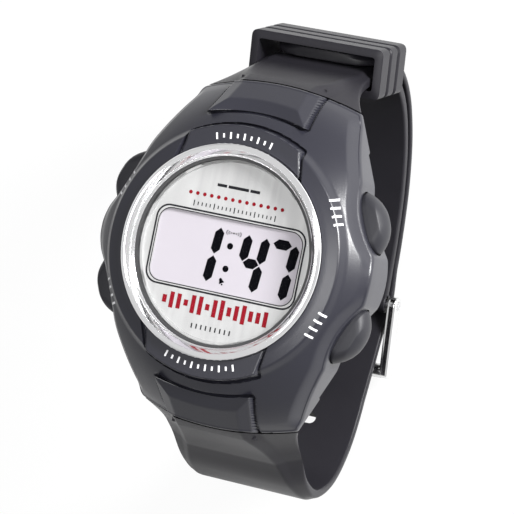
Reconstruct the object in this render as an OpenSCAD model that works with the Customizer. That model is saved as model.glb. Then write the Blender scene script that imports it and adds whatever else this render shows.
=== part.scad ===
// Talking digital wristwatch with a moulded resin strap, buckled into a closed loop.
// The origin is the centre of the case back's outer face.
// +Z points out of the dial, +Y to 12 o'clock and +X to 3 o'clock.

/* [Case] */
// Width over the two rounded side noses
case_w = 42.9; // [42.5:0.1:44.5]
// Length over the two curved ends, on the centre line
case_len = 50.6; // [49.6:0.1:52]
// Angle between a flat flank and the 12 to 6 o'clock line
flank_angle = 23.5; // [22:0.5:25]
// Distance from the dial centre to a flat flank
flank_dist = 20.8; // [20.4:0.1:21]
// Radius of a curved case end, seen from above
end_r = 41; // [36:0.5:50]
// Radius of the domed top
dome_r = 30; // [29:0.5:33]
// Height that the dome would reach at the dial centre
dome_top_z = 16.6; // [16:0.1:17.2]
// Width of the raised collar's top, outside the dial ring
collar_w = 2.3; // [1.8:0.1:2.6]
// Height of the collar's inner edge
collar_z = 12.1; // [11.6:0.1:12.4]
// How far the collar's top falls from its inner edge to its outer edge
collar_fall = 0.6; // [0.3:0.1:0.9]
// Width of the collar's sloping outer side
collar_run = 0.8; // [0.5:0.1:1.2]
// How far the two ends reach below the case back
lug_drop = 0.6; // [0.2:0.1:1]
// Width of the bevel under a flank
under_bevel = 0.9; // [0.4:0.1:1.4]
// Width of the bevel between a flank and the dome
over_bevel = 0.9; // [0.5:0.1:1.3]
// How far that bevel reaches down from the dome
over_drop = 1.7; // [0.8:0.1:2.2]
// Radius of the hollow that holds the movement
cavity_r = 16.2; // [16:0.05:16.4]
// Width of the dark grooves round the raised panels
groove_w = 0.4; // [0.2:0.05:0.6]
// Depth of those grooves
groove_d = 0.6; // [0.3:0.1:0.9]

/* [Raised panels on the case] */
// Half width of a shield panel at its outer corners
shield_half_w = 8.7; // [7.5:0.1:9.4]
// Half width of a shield panel where it meets the dial ring
shield_root_half_w = 9.9; // [9.2:0.1:10.6]
// Radius of a shield panel's outer edge
shield_r = 18.3; // [17.9:0.1:18.6]
// Height of a shield panel's top face
shield_z = 11.7; // [11.4:0.1:12]
// Half width of an end tab at its dial side
tab_half_w = 7.6; // [6.8:0.1:8.4]
// Half width of an end tab at the strap
tab_end_half_w = 6.6; // [5.8:0.1:7.4]
// Distance from the dial centre to the tab's dial side
tab_y = 19.5; // [19.2:0.1:20.2]
// Height of a tab above the dome
tab_rise = 0.6; // [0.3:0.1:0.9]
// How far the tab's dial side bows outwards in its middle
tab_bow = 1.1; // [0.6:0.1:1.6]
// Width of the bevel on a tab's edges
tab_bevel = 1.6; // [0.8:0.1:2]

/* [Dial opening] */
// Radial width of the polished dial ring, outside the crystal's gasket
ring_w = 1.85; // [1.6:0.05:2]
// Height of the ring's outer edge
ring_z = 12.5; // [12.3:0.1:12.9]
// Height of the ring's crest above its outer edge
ring_crest = 0.45; // [0.2:0.05:0.7]
// Diameter of the crystal
crystal_d = 26.6; // [26:0.1:27]
// Thickness of the crystal
crystal_t = 1.0; // [0.8:0.1:1.1]
// Radial width of the crystal gasket
crystal_gasket_w = 0.35; // [0.25:0.05:0.45]
// Thickness of the case's inner flange under the dial ring
flange_t = 0.5; // [0.4:0.05:0.6]
// Height of the dial plate's printed face
dial_z = 10.1; // [9.9:0.05:10.2]
// Thickness of the dial plate
dial_t = 0.3; // [0.2:0.05:0.4]
// Diameter of the opening in the silver ring over the dial
dial_opening_d = 25.9; // [25.4:0.1:26.2]
// Width of the display window in the dial plate
window_w = 22.6; // [21.6:0.1:23.2]
// Height of the display window in the dial plate
window_h = 10.5; // [9.8:0.1:11]
// Corner radius of the display window
window_r = 1.6; // [1:0.1:2]
// How far the display sits towards 6 o'clock
display_shift = 0.54; // [0.2:0.02:0.8]

/* [Movement] */
// Width of the liquid crystal panel
lcd_w = 25; // [24:0.1:25.6]
// Height of the liquid crystal panel
lcd_h = 13; // [12.4:0.1:13.4]
// Thickness of the liquid crystal panel
lcd_t = 1.9; // [1.6:0.1:2.1]
// Width of a rubber connector strip
strip_w = 1.5; // [1.2:0.1:1.7]
// Length of a rubber connector strip
strip_len = 22; // [20:0.5:23]
// Thickness of the circuit board
board_t = 0.8; // [0.6:0.1:1]
// Height of the circuit board's upper face
board_z = 5.8; // [5.6:0.1:6]
// Diameter of the coin cell
cell_d = 20; // [19:0.5:20.5]
// Thickness of the coin cell
cell_t = 2.5; // [2:0.1:2.6]
// Width of the steel clip that holds the coin cell
cell_clip_w = 5; // [4:0.5:7]
// Thickness of that clip
cell_clip_t = 0.25; // [0.2:0.05:0.3]
// Diameter of the sounder disc on the case back
sounder_d = 24; // [20:0.5:26]
// Thickness of the sounder disc
sounder_t = 0.35; // [0.25:0.05:0.45]
// Wall of the movement's plastic frame
frame_wall = 0.9; // [0.7:0.1:1.1]
// Radius of the resin drop that covers the chip
chip_r = 4; // [3:0.25:4.5]
// Height of that resin drop
chip_h = 1.0; // [0.6:0.1:1.2]

/* [Case back] */
// Thickness of the case back
back_t = 0.8; // [0.6:0.05:1]
// Radius of the case back's round part
back_r = 17.9; // [17.6:0.1:18.1]
// Sideways place of the case back's screws
screw_x = 13.4; // [12.8:0.1:13.8]
// Lengthwise place of the case back's screws
screw_y = 15.2; // [14.6:0.1:15.5]
// Radius of a screw's head
screw_head_r = 1.4; // [1.1:0.05:1.6]
// Height of a screw's head
screw_head_h = 0.5; // [0.3:0.05:0.6]
// Radius of a screw's shank
screw_r = 0.6; // [0.45:0.05:0.75]
// Length of a screw's shank in the case
screw_len = 3; // [2:0.25:3.5]
// Radial width of the case back's gasket
back_gasket_w = 0.9; // [0.7:0.1:1.1]
// Height of the case back's gasket
back_gasket_t = 0.7; // [0.5:0.05:0.9]

/* [Buttons] */
// Angle of a button's axis from the 3 to 9 o'clock line
button_angle = 23.5; // [22.5:0.5:24.5]
// Length of a button's cap along the flank
button_len = 9; // [8:0.1:9.4]
// Height of a button's cap
button_h = 4.6; // [4:0.1:4.8]
// Height of a button's axis
button_z = 4.2; // [4:0.05:4.2]
// How far a cap stands out of the flank
button_out = 2.2; // [1.8:0.05:2.4]
// How far a cap sits in its pocket
button_in = 1.2; // [0.9:0.05:1.4]
// How far a button can be pushed in
button_travel = 0.8; // [0.6:0.05:0.9]
// Radius of a button's stem
stem_r = 0.75; // [0.6:0.05:0.85]
// Running clearance round a stem
stem_gap = 0.05; // [0.03:0.01:0.08]
// Clearance round a cap in its pocket
cap_gap = 0.2; // [0.15:0.05:0.3]
// Depth of the hollow moulded round each button
scallop_d = 0.7; // [0.4:0.05:0.9]
// Length of that hollow along the flank
scallop_len = 11.4; // [10.6:0.2:12.4]
// Thickness of a button's retaining clip
clip_t = 0.35; // [0.25:0.05:0.45]
// Outer radius of a button's retaining clip
clip_r = 1.3; // [1.15:0.05:1.4]
// Wire radius of a button's rubber seal
seal_wire_r = 0.35; // [0.3:0.05:0.4]

/* [Strap] */
// Half width of the strap where it leaves the case
strap_root_half_w = 12.6; // [12:0.1:12.9]
// Half width of the strap from the keeper to the buckle
strap_half_w = 9; // [8.7:0.1:9.1]
// Half width of the long strap's waist below the case
long_waist_w = 10.9; // [10:0.1:11.5]
// Thickness of the short strap at the case
root_t = 3.3; // [2.8:0.1:3.6]
// Thickness of the short strap past the keeper
short_t = 2.0; // [1.8:0.1:2.2]
// Thickness of the long strap through the buckle
long_t = 1.9; // [1.7:0.1:2.1]
// Thickness of the long strap at its tip
tip_t = 1.5; // [1.3:0.1:1.7]
// Gap between the short strap and the strap tail that lies on it
layer_gap = 0.25; // [0.2:0.05:0.35]
// Gap between the case ends and the strap
root_gap = 0.15; // [0.1:0.05:0.2]
// How far the 12 o'clock side of the loop reaches out, inside
loop_y12 = 30.0; // [29:0.1:31.5]
// How far the 6 o'clock side of the loop reaches out, inside
loop_y6 = 32.7; // [31.5:0.1:34]
// Depth of the loop under the case back, inside
loop_depth = 34.7; // [33.5:0.1:36]
// Depth of the loop's widest places
loop_fold_z = 18.5; // [17:0.1:20]
// Number of holes in the long strap
hole_count = 8; // [5:1:9]
// Spacing of those holes
hole_pitch = 6.5; // [6:0.1:7]
// Width of a hole
hole_w = 2.4; // [2.2:0.1:2.6]
// Length of a hole along the strap
hole_len = 5.2; // [5:0.1:5.4]

/* [Strap pins] */
// Distance of a strap pin from the dial centre
pin_y = 21.2; // [20.8:0.1:21.6]
// Height of a strap pin
pin_z = 1.1; // [0.9:0.05:1.3]
// Radius of a strap pin
pin_r = 0.7; // [0.5:0.05:0.8]
// Radius of a pin's domed end
pin_head_r = 1.2; // [1:0.05:1.35]
// How far a pin's end stands out of the case
pin_head_h = 0.6; // [0.4:0.05:0.9]
// Width of the strap's knuckle under the case end
knuckle_w = 18; // [15:0.5:19]
// Clearance of the knuckle in the case
knuckle_gap = 0.2; // [0.15:0.05:0.3]

/* [Buckle] */
// Distance between the buckle's hinge bar and its far bar
buckle_len = 10.8; // [10:0.1:11.4]
// Radius of the far bar
bar_r = 1.1; // [0.9:0.05:1.2]
// Thickness of a side arm
arm_t = 1.5; // [1.2:0.1:1.8]
// Clearance between a side arm and the strap
arm_gap = 0.4; // [0.3:0.05:0.5]
// Height of a side arm
arm_h = 2.6; // [2.3:0.1:2.8]
// Radius of the buckle's hinge bar
hinge_r = 0.65; // [0.5:0.05:0.7]
// Running clearance round the hinge bar
hinge_gap = 0.05; // [0.03:0.01:0.08]
// Wall round the hinge bar at the short strap's end
barrel_wall = 0.75; // [0.6:0.05:0.85]
// Width of the tongue
tongue_w = 1.6; // [1.3:0.1:1.7]
// How far the tongue reaches past the middle of the far bar
tongue_over = 1.4; // [1:0.1:1.8]
// Thickness of the tongue
tongue_t = 1.0; // [0.8:0.05:1.1]

/* [Keeper] */
// Length of the keeper along the strap
keeper_len = 9.4; // [8.4:0.1:10]
// Wall thickness of the keeper
keeper_wall = 1.25; // [1:0.05:1.5]
// Space between the keeper's two long walls
keeper_room = 5.1; // [4.9:0.1:5.6]
// Clearance beside and under the strap in the keeper
keeper_gap = 0.45; // [0.4:0.05:0.5]
// Height of the keeper's three ribs
rib_h = 0.45; // [0.3:0.05:0.6]
// Width of the two grooves between the ribs
rib_gap = 0.5; // [0.3:0.05:0.7]
// Where the keeper starts, measured along the strap from the case
keeper_start = 10.8; // [10.6:0.1:11.5]

/* [Hidden] */
$fn = 72;

resin = [0.17, 0.17, 0.2];
steel = [0.75, 0.75, 0.76];
seal_black = [0.05, 0.05, 0.05];
// Overlap that makes a cut pass clean through a face
pass = 1;
// Small clearance between pieces that seat in one another
seat_gap = 0.05;
// Clearance of a pin or a screw's shank in its hole
bore_gap = 0.03;
// Thickness of a slice that only gives a hull its outline
slice_t = 0.02;

// Value between a and b, where u runs from 0 to 1
function mix(a, b, u) = a + (b - a) * min(1, max(0, u));

// Case outline

nose_x = (case_w / 2 - flank_dist) / (1 - cos(flank_angle));
end_y = case_len / 2 - end_r;
least_share = 0.15;
nose_steps = 5;
flank_steps = 6;
end_steps = 5;

// One quarter of the outline as [x, y, share of the upper bevel], from the side nose to the
// middle of the 12 o'clock end
function quarter(inset) =
    let (nose_r = case_w / 2 - nose_x - inset,
         corner = asin((flank_dist - inset - end_y * sin(flank_angle)) / end_r) - flank_angle,
         nose_end = [nose_x + nose_r * cos(flank_angle), nose_r * sin(flank_angle), 1],
         corner_at = [end_r * sin(corner), end_y + end_r * cos(corner), 1])
    concat(
        [for (i = [0:nose_steps]) let (a = flank_angle * i / nose_steps)
            [nose_x + nose_r * cos(a), nose_r * sin(a), max(least_share, i / nose_steps)]],
        [for (i = [1:flank_steps - 1]) mix(nose_end, corner_at, i / flank_steps)],
        [for (i = [0:end_steps]) let (a = corner * (1 - i / end_steps))
            [end_r * sin(a), end_y + end_r * cos(a), least_share]]);

function outline(inset) =
    let (q = quarter(inset), n = len(q))
    concat(
        q,
        [for (i = [n - 2:-1:0]) [-q[i][0], q[i][1], q[i][2]]],
        [for (i = [1:n - 1]) [-q[i][0], -q[i][1], q[i][2]]],
        [for (i = [n - 2:-1:1]) [q[i][0], -q[i][1], q[i][2]]]);

// Height of the domed top at a distance r from the dial's axis
function dome_height(r, grow = 0) =
    dome_top_z - dome_r + sqrt(pow(dome_r + grow, 2) - r * r);

// Closed surface through rings of equally many points, from the lowest ring to the highest
module loft(rings) {
    n = len(rings[0]);
    m = len(rings);
    polyhedron(
        points = [for (ring = rings, q = ring) q],
        faces = concat(
            [[for (j = [0:n - 1]) j]],
            [[for (j = [n - 1:-1:0]) (m - 1) * n + j]],
            [for (i = [0:m - 2], j = [0:n - 1]) let (a = i * n + j, b = i * n + (j + 1) % n)
                [b, a, a + n]],
            [for (i = [0:m - 2], j = [0:n - 1]) let (a = i * n + j, b = i * n + (j + 1) % n)
                [b + n, b, a + n]]),
        convexity = 6);
}

// Two copies, one at 12 o'clock and one at 6 o'clock
module both_ends() {
    children();
    rotate([0, 0, 180]) children();
}

// Dial opening, from the dial plate up

crystal_r = crystal_d / 2;
surround_t = 0.5;
crystal_z = dial_z + surround_t;
neck_in_r = crystal_r + crystal_gasket_w;
ring_r = neck_in_r + ring_w;
neck_t = 0.55;
flange_hole_r = neck_in_r + neck_t + seat_gap;
flange_top_z = crystal_z + flange_t;
module_r = cavity_r - 0.1;
back_gap = 0.2;
gasket_in_r = cavity_r + 0.1;
dial_low_z = dial_z - dial_t;

// Buttons, worked out along an axis that runs outwards through a button

cap_back_x = flank_dist - button_in;
pocket_floor_x = cap_back_x - button_travel - 0.1;
clip_out_x = cavity_r - clip_r * clip_r / (2 * cavity_r) - seat_gap;
stem_end_x = clip_out_x - 1.35;
leaf_x = stem_end_x - button_travel - 0.08;
leaf_t = 0.15;
seal_ring_r = stem_r + seal_wire_r + 0.02;
seal_pocket_r = seal_ring_r + seal_wire_r + seat_gap;
seal_pocket_len = 2 * seal_wire_r + 0.1;
button_turns = [button_angle, -button_angle, 180 + button_angle, 180 - button_angle];

module at_button(turn) {
    rotate([0, 0, turn]) translate([0, 0, button_z]) children();
}

// A cylinder along the button's axis
module along_axis(from, to, r) {
    translate([from, 0, 0]) rotate([0, 90, 0]) cylinder(h = to - from, r = r);
}

// A round-ended bar, lying across the button's axis
module stadium(from, to, length, height) {
    half = (length - height) / 2;
    for (side = [-1, 1]) translate([0, side * half, 0]) along_axis(from, to, height / 2);
    translate([from, -half, -height / 2]) cube([to - from, 2 * half, height]);
}

module button_cuts() {
    scallop_r = (pow(scallop_len / 2, 2) + scallop_d * scallop_d) / (2 * scallop_d);
    for (turn = button_turns) at_button(turn) {
        translate([flank_dist - scallop_d + scallop_r, 0, -button_z - lug_drop - pass])
            cylinder(h = dome_top_z + lug_drop + 2 * pass, r = scallop_r, $fn = 180);
        stadium(pocket_floor_x, case_w, button_len + 2 * cap_gap, button_h + 2 * cap_gap);
        along_axis(pocket_floor_x - seal_pocket_len, pocket_floor_x + pass, seal_pocket_r, $fn = 36);
        along_axis(cavity_r - pass, pocket_floor_x, stem_r + stem_gap, $fn = 36);
    }
}

// Raised panels

// A panel beside the dial ring, grown outwards by a groove's width
function shield_outline(grow) =
    let (corner_a = asin(shield_half_w / shield_r),
         corner_y = shield_r * cos(corner_a),
         root_y = sqrt(pow(ring_r - 1, 2) - pow(shield_root_half_w, 2)),
         side_out = 0.25, side_len = 1.4, n = 8)
    concat(
        [[-shield_root_half_w - grow, root_y], [shield_root_half_w + grow, root_y]],
        [[shield_half_w + grow + side_out, corner_y - side_len]],
        [for (i = [0:n]) let (a = (corner_a + grow * 2) * (1 - 2 * i / n))
            [(shield_r + grow) * sin(a), (shield_r + grow) * cos(a)]],
        [[-shield_half_w - grow - side_out, corner_y - side_len]]);

// An end panel between the shield and the strap, widening towards the dial
function tab_outline(grow) =
    let (n = 6)
    concat(
        [[tab_end_half_w + grow, case_len / 2 + pass], [-tab_end_half_w - grow, case_len / 2 + pass]],
        [for (i = [0:n]) let (u = 2 * i / n - 1)
            [u * (tab_half_w + grow), tab_y - grow + tab_bow * (1 - u * u)]]);

module tab_panel() {
    mid_y = (tab_y + case_len / 2) / 2;
    slope = asin(mid_y / dome_r);
    lap = 0.4;
    root_depth = 1.5;
    half_len = (case_len / 2 - tab_y) / 2 / cos(slope) + lap;
    front_bevel = 1.5 * tab_bevel;
    mid_z = dome_height(mid_y);
    intersection() {
        translate([0, 0, -lug_drop]) linear_extrude(dome_top_z) polygon(tab_outline(0));
        translate([0, mid_y, mid_z]) rotate([-slope, 0, 0]) hull() {
            translate([-tab_half_w - tab_bevel, -half_len, -root_depth])
                cube([2 * (tab_half_w + tab_bevel), 2 * half_len + pass, slice_t]);
            translate([-tab_half_w + tab_bevel, -half_len + front_bevel, tab_rise])
                cube([2 * (tab_half_w - tab_bevel), 2 * half_len - front_bevel + pass, slice_t]);
        }
        translate([0, end_y, -lug_drop]) cylinder(h = dome_top_z, r = end_r - 0.1, $fn = 180);
    }
}

dome_steps = 3;
shield_floor_z = shield_z - groove_d - 0.6;
collar_r = ring_r + collar_w;

// Outer form of the case without its panels, with the dome raised by grow
module case_body(grow, inset) {
    low = outline(under_bevel + inset);
    side = outline(inset);
    foot_r = collar_r + collar_run;
    side_low_z = -lug_drop + under_bevel;
    loft(concat(
        [[for (p = low) [p[0], p[1], -lug_drop]]],
        [[for (p = side) [p[0], p[1], side_low_z]]],
        [[for (p = side) [p[0], p[1],
            max(side_low_z + 0.1, dome_height(norm([p[0], p[1]]), grow) - over_drop * p[2])]]],
        [for (k = [0:dome_steps]) [for (p = side)
            let (r = norm([p[0], p[1]]), q = mix(r - over_bevel * p[2], foot_r, k / dome_steps))
            [p[0] * q / r, p[1] * q / r, max(side_low_z + 0.2, dome_height(q, grow))]]],
        [for (c = [[collar_r, collar_z - collar_fall], [ring_r + 0.5, collar_z]]) [for (p = side)
            let (r = norm([p[0], p[1]])) [p[0] * c[0] / r, p[1] * c[0] / r, c[1] + grow]]]));
}

// Knuckle under each case end, where a strap hangs on its pin

knuckle_r = pin_r + 0.9;
neck_top_z = pin_z + 0.4;
neck_low_z = -lug_drop + 0.1;

module knuckle_space() {
    w = knuckle_w + 2 * knuckle_gap;
    r = knuckle_r + knuckle_gap;
    translate([-w / 2, pin_y, pin_z]) rotate([0, 90, 0]) cylinder(h = w, r = r);
    translate([-w / 2, pin_y - r, -lug_drop - pass]) cube([w, 2 * r, lug_drop + pass + pin_z]);
    translate([-w / 2, pin_y, -lug_drop - pass])
        cube([w, case_len, lug_drop + pass + neck_top_z + knuckle_gap]);
}

pin_half_len = (flank_dist - pin_y * sin(flank_angle)) / cos(flank_angle);

module case_shell() {
    lap = 0.1;
    color(resin) difference() {
        union() {
            difference() {
                case_body(0, 0);
                both_ends() {
                    translate([0, 0, shield_floor_z]) linear_extrude(dome_top_z)
                        polygon(shield_outline(groove_w));
                    difference() {
                        translate([0, 0, under_bevel]) linear_extrude(dome_top_z)
                            polygon(tab_outline(groove_w));
                        case_body(-groove_d, -0.05);
                    }
                }
            }
            both_ends() {
                translate([0, 0, shield_floor_z - lap])
                    linear_extrude(shield_z - shield_floor_z + lap) polygon(shield_outline(0));
                tab_panel();
            }
        }
        // Seat of the dial ring, the hole in the flange under it and the hollow for the movement
        translate([0, 0, flange_top_z]) cylinder(h = dome_top_z, r = ring_r + seat_gap, $fn = 144);
        translate([0, 0, crystal_z - pass]) cylinder(h = dome_top_z, r = flange_hole_r, $fn = 144);
        translate([0, 0, -lug_drop - pass])
            cylinder(h = lug_drop + pass + crystal_z, r = cavity_r, $fn = 144);
        // Seat of the case back and its gasket
        translate([-case_w, -back_r - back_gap, -lug_drop - pass])
            cube([2 * case_w, 2 * (back_r + back_gap), lug_drop + pass + back_t]);
        cylinder(h = back_t + back_gasket_t + seat_gap, r = gasket_in_r + back_gasket_w + 0.1, $fn = 144);
        for (sx = [-1, 1], sy = [-1, 1]) translate([sx * screw_x, sy * screw_y, 0])
            cylinder(h = screw_head_h + screw_len + seat_gap, r = screw_r + bore_gap, $fn = 36);
        button_cuts();
        both_ends() knuckle_space();
        for (side = [-1, 1]) translate([-case_w, side * pin_y, pin_z]) rotate([0, 90, 0])
            cylinder(h = 2 * case_w, r = pin_r + bore_gap, $fn = 36);
    }
}

module dial_ring_polished() {
    top = ring_z + ring_crest;
    color(steel) rotate_extrude($fn = 144) polygon([
        [neck_in_r, crystal_z], [neck_in_r + neck_t, crystal_z], [neck_in_r + neck_t, flange_top_z],
        [ring_r, flange_top_z], [ring_r, ring_z - 0.15], [ring_r - 0.05, ring_z],
        [ring_r - 0.2, ring_z + 0.6 * ring_crest], [ring_r - 0.5, ring_z + 0.92 * ring_crest],
        [ring_r - 0.8, top], [ring_r - 1.1, ring_z + 0.6 * ring_crest],
        [neck_in_r + 0.25, crystal_z + crystal_t + 0.2], [neck_in_r, crystal_z + crystal_t]]);
}

module crystal() {
    bevel = 0.25;
    color([0.85, 0.9, 0.92, 0.35]) translate([0, 0, crystal_z]) rotate_extrude($fn = 144)
        polygon([[0, 0], [crystal_r, 0], [crystal_r, crystal_t - bevel],
            [crystal_r - bevel, crystal_t], [0, crystal_t]]);
}

module crystal_gasket() {
    color(seal_black) translate([0, 0, crystal_z]) difference() {
        cylinder(h = crystal_t - 0.1, r = neck_in_r, $fn = 144);
        translate([0, 0, -pass]) cylinder(h = crystal_t + 2 * pass, r = crystal_r, $fn = 144);
    }
}

module dial_surround() {
    color([0.7, 0.7, 0.71]) translate([0, 0, dial_z]) difference() {
        cylinder(h = surround_t, r = module_r, $fn = 144);
        translate([0, 0, -pass])
            cylinder(h = surround_t + 2 * pass, r = dial_opening_d / 2, $fn = 144);
    }
}

module dial_plate() {
    color([0.78, 0.78, 0.78]) difference() {
        translate([0, 0, dial_low_z]) cylinder(h = dial_t, r = module_r, $fn = 144);
        translate([0, -display_shift, dial_low_z - pass]) {
            for (sx = [-1, 1], sy = [-1, 1])
                translate([sx * (window_w / 2 - window_r), sy * (window_h / 2 - window_r), 0])
                    cylinder(h = dial_t + 2 * pass, r = window_r, $fn = 36);
            translate([-window_w / 2, -window_h / 2 + window_r, 0])
                cube([window_w, window_h - 2 * window_r, dial_t + 2 * pass]);
            translate([-window_w / 2 + window_r, -window_h / 2, 0])
                cube([window_w - 2 * window_r, window_h, dial_t + 2 * pass]);
        }
    }
}

// Movement

lcd_top_z = dial_low_z - seat_gap;
lcd_ledge = strip_w + 0.4;
strip_top_z = lcd_top_z - lcd_t / 2;
strip_y = lcd_h / 2 - lcd_ledge / 2;
board_r = 14.8;
board_low_z = board_z - board_t;
cell_z = board_low_z - 0.3 - cell_t;
cell_r = cell_d / 2;
clip_low_z = cell_z - cell_clip_t - seat_gap;
frame_low_z = back_t + 0.7;

// A plate with its centre on the display's centre line
module display_block(w, h, z, t, y = 0) {
    translate([-w / 2, -display_shift + y - h / 2, z]) cube([w, h, t]);
}

module display_panel() {
    color([0.8, 0.79, 0.82]) {
        display_block(lcd_w, lcd_h, lcd_top_z - lcd_t / 2, lcd_t / 2);
        display_block(lcd_w, lcd_h - 2 * lcd_ledge, lcd_top_z - lcd_t, lcd_t / 2);
    }
}

module connector_strips() {
    color([0.8, 0.55, 0.45]) for (side = [-1, 1])
        display_block(strip_len, strip_w, board_z, strip_top_z - board_z, side * strip_y);
}

module movement_frame() {
    holder_r = cell_r + 0.15;
    holder_wall = 0.8;
    spoke_w = 1.6;
    slot_gap = 0.2;
    strip_room = 0.3;
    leaf_room = 0.4;
    color([0.9, 0.9, 0.88]) difference() {
        union() {
            translate([0, 0, board_z]) cylinder(h = dial_low_z - board_z, r = module_r, $fn = 144);
            difference() {
                translate([0, 0, frame_low_z])
                    cylinder(h = board_z - frame_low_z, r = module_r, $fn = 144);
                translate([0, 0, frame_low_z - pass])
                    cylinder(h = board_z - frame_low_z + pass, r = module_r - frame_wall, $fn = 144);
            }
            difference() {
                translate([0, 0, cell_z]) union() {
                    cylinder(h = board_low_z - seat_gap - cell_z, r = holder_r + holder_wall);
                    for (a = [65, 115, 245, 295]) rotate([0, 0, a])
                        translate([cell_r, -spoke_w / 2, 0])
                            cube([module_r - 0.3 - cell_r, spoke_w, board_low_z - seat_gap - cell_z]);
                }
                translate([0, 0, cell_z - pass]) cylinder(h = board_z, r = holder_r);
            }
        }
        for (side = [-1, 1])
            display_block(strip_len + strip_room, strip_w + strip_room, board_z - pass, dial_z,
                side * strip_y);
        display_block(lcd_w + slot_gap, lcd_h - 2 * lcd_ledge + slot_gap,
            lcd_top_z - lcd_t - seat_gap, lcd_t + pass);
        display_block(lcd_w + slot_gap, lcd_h + slot_gap, lcd_top_z - lcd_t / 2 - seat_gap, lcd_t + pass);
        translate([0, 0, board_z - pass]) cylinder(h = chip_h + 0.2 + pass, r = chip_r + 0.3);
        for (turn = button_turns) at_button(turn)
            translate([leaf_x - 1, -clip_r - leaf_room, frame_low_z - button_z - pass])
                cube([cavity_r, 2 * (clip_r + leaf_room), board_z - frame_low_z + pass]);
    }
}

module circuit_board() {
    color([0.1, 0.35, 0.2]) translate([0, 0, board_low_z])
        cylinder(h = board_t, r = board_r);
}

module chip_cover() {
    cap_r = (chip_r * chip_r + chip_h * chip_h) / (2 * chip_h);
    color(seal_black) translate([0, 0, board_z]) intersection() {
        translate([0, 0, chip_h - cap_r]) sphere(r = cap_r, $fn = 90);
        cylinder(h = chip_h + pass, r = chip_r);
    }
}

module contact_leaves() {
    half_w = 1.2;
    foot = 1.6;
    color([0.85, 0.75, 0.45]) for (turn = button_turns) rotate([0, 0, turn]) {
        translate([leaf_x - leaf_t, -half_w, button_z - stem_r - 0.2])
            cube([leaf_t, 2 * half_w, board_low_z - button_z + stem_r + 0.2]);
        translate([leaf_x - foot, -half_w, board_low_z - leaf_t]) cube([foot, 2 * half_w, leaf_t]);
    }
}

module coin_cell() {
    lip = 0.6;
    color(steel) translate([0, 0, cell_z]) rotate_extrude() polygon([
        [0, 0], [cell_r - 0.3, 0], [cell_r, 0.3], [cell_r, cell_t - lip], [cell_r - lip, cell_t - 0.2],
        [cell_r - 1.6, cell_t], [0, cell_t]]);
}

module cell_clip() {
    reach = cell_r + 1.2;
    color(steel) {
        translate([-reach, -cell_clip_w / 2, clip_low_z]) cube([2 * reach, cell_clip_w, cell_clip_t]);
        for (side = [0, 180]) rotate([0, 0, side])
            translate([reach - cell_clip_t, -cell_clip_w / 2, clip_low_z])
                cube([cell_clip_t, cell_clip_w, board_low_z - seat_gap - clip_low_z]);
    }
}

module sounder_disc() {
    color([0.8, 0.65, 0.3]) translate([0, 0, back_t]) {
        cylinder(h = sounder_t - 0.15, r = sounder_d / 2);
        cylinder(h = sounder_t, r = sounder_d / 2 - 3);
    }
}

// Case back

module case_back() {
    color(steel) difference() {
        hull() {
            cylinder(h = back_t, r = back_r, $fn = 96);
            for (sx = [-1, 1], sy = [-1, 1]) translate([sx * screw_x, sy * screw_y, 0])
                cylinder(h = back_t, r = screw_head_r + 0.65, $fn = 32);
        }
        for (sx = [-1, 1], sy = [-1, 1]) translate([sx * screw_x, sy * screw_y, -pass]) {
            cylinder(h = pass + screw_head_h, r = screw_head_r + seat_gap, $fn = 36);
            cylinder(h = 2 * pass + back_t, r = screw_r + seat_gap, $fn = 36);
        }
    }
}

module case_back_gasket() {
    color(seal_black) translate([0, 0, back_t]) difference() {
        cylinder(h = back_gasket_t, r = gasket_in_r + back_gasket_w);
        translate([0, 0, -pass]) cylinder(h = back_gasket_t + 2 * pass, r = gasket_in_r);
    }
}

module case_back_screws() {
    slot_w = 0.4;
    slot_depth = 0.3;
    slot_half_len = screw_head_r - 0.4;
    color(steel) for (sx = [-1, 1], sy = [-1, 1]) translate([sx * screw_x, sy * screw_y, 0])
        difference() {
            union() {
                cylinder(h = screw_head_h, r = screw_head_r, $fn = 36);
                cylinder(h = screw_head_h + screw_len, r = screw_r, $fn = 36);
            }
            for (turn = [0, 90]) rotate([0, 0, turn + 45])
                translate([-slot_half_len, -slot_w / 2, -pass])
                    cube([2 * slot_half_len, slot_w, pass + slot_depth]);
        }
}

// Buttons

module button_seals() {
    color(seal_black) for (turn = button_turns) at_button(turn)
        translate([pocket_floor_x - seal_wire_r - seat_gap, 0, 0]) rotate([0, 90, 0])
            rotate_extrude($fn = 48) translate([seal_ring_r, 0]) circle(r = seal_wire_r, $fn = 24);
}

module button(turn) {
    front_x = flank_dist + button_out;
    plan_r = (pow(button_len / 2, 2) + button_out * button_out) / (2 * button_out);
    side_r = 3.4;
    stem_lap = 0.3;
    color(resin) at_button(turn) {
        intersection() {
            stadium(cap_back_x, front_x, button_len, button_h);
            translate([front_x - plan_r, 0, -button_h]) cylinder(h = 2 * button_h, r = plan_r, $fn = 96);
            translate([front_x - side_r, button_len, 0]) rotate([90, 0, 0])
                cylinder(h = 2 * button_len, r = side_r, $fn = 96);
        }
        along_axis(stem_end_x, cap_back_x + stem_lap, stem_r, $fn = 36);
    }
}

module stem_clip(turn) {
    color(steel) at_button(turn) difference() {
        along_axis(clip_out_x - clip_t, clip_out_x, clip_r, $fn = 36);
        along_axis(clip_out_x - clip_t - pass, clip_out_x + pass, stem_r, $fn = 36);
        translate([clip_out_x - clip_t - pass, -0.5, -clip_r - pass])
            cube([clip_t + 2 * pass, 1, clip_r + pass]);
    }
}

module button_talk() { button(button_turns[0]); }
module button_minute() { button(button_turns[1]); }
module button_hour() { button(button_turns[2]); }
module button_mode() { button(button_turns[3]); }
module clip_talk() { stem_clip(button_turns[0]); }
module clip_minute() { stem_clip(button_turns[1]); }
module clip_hour() { stem_clip(button_turns[2]); }
module clip_mode() { stem_clip(button_turns[3]); }

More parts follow.
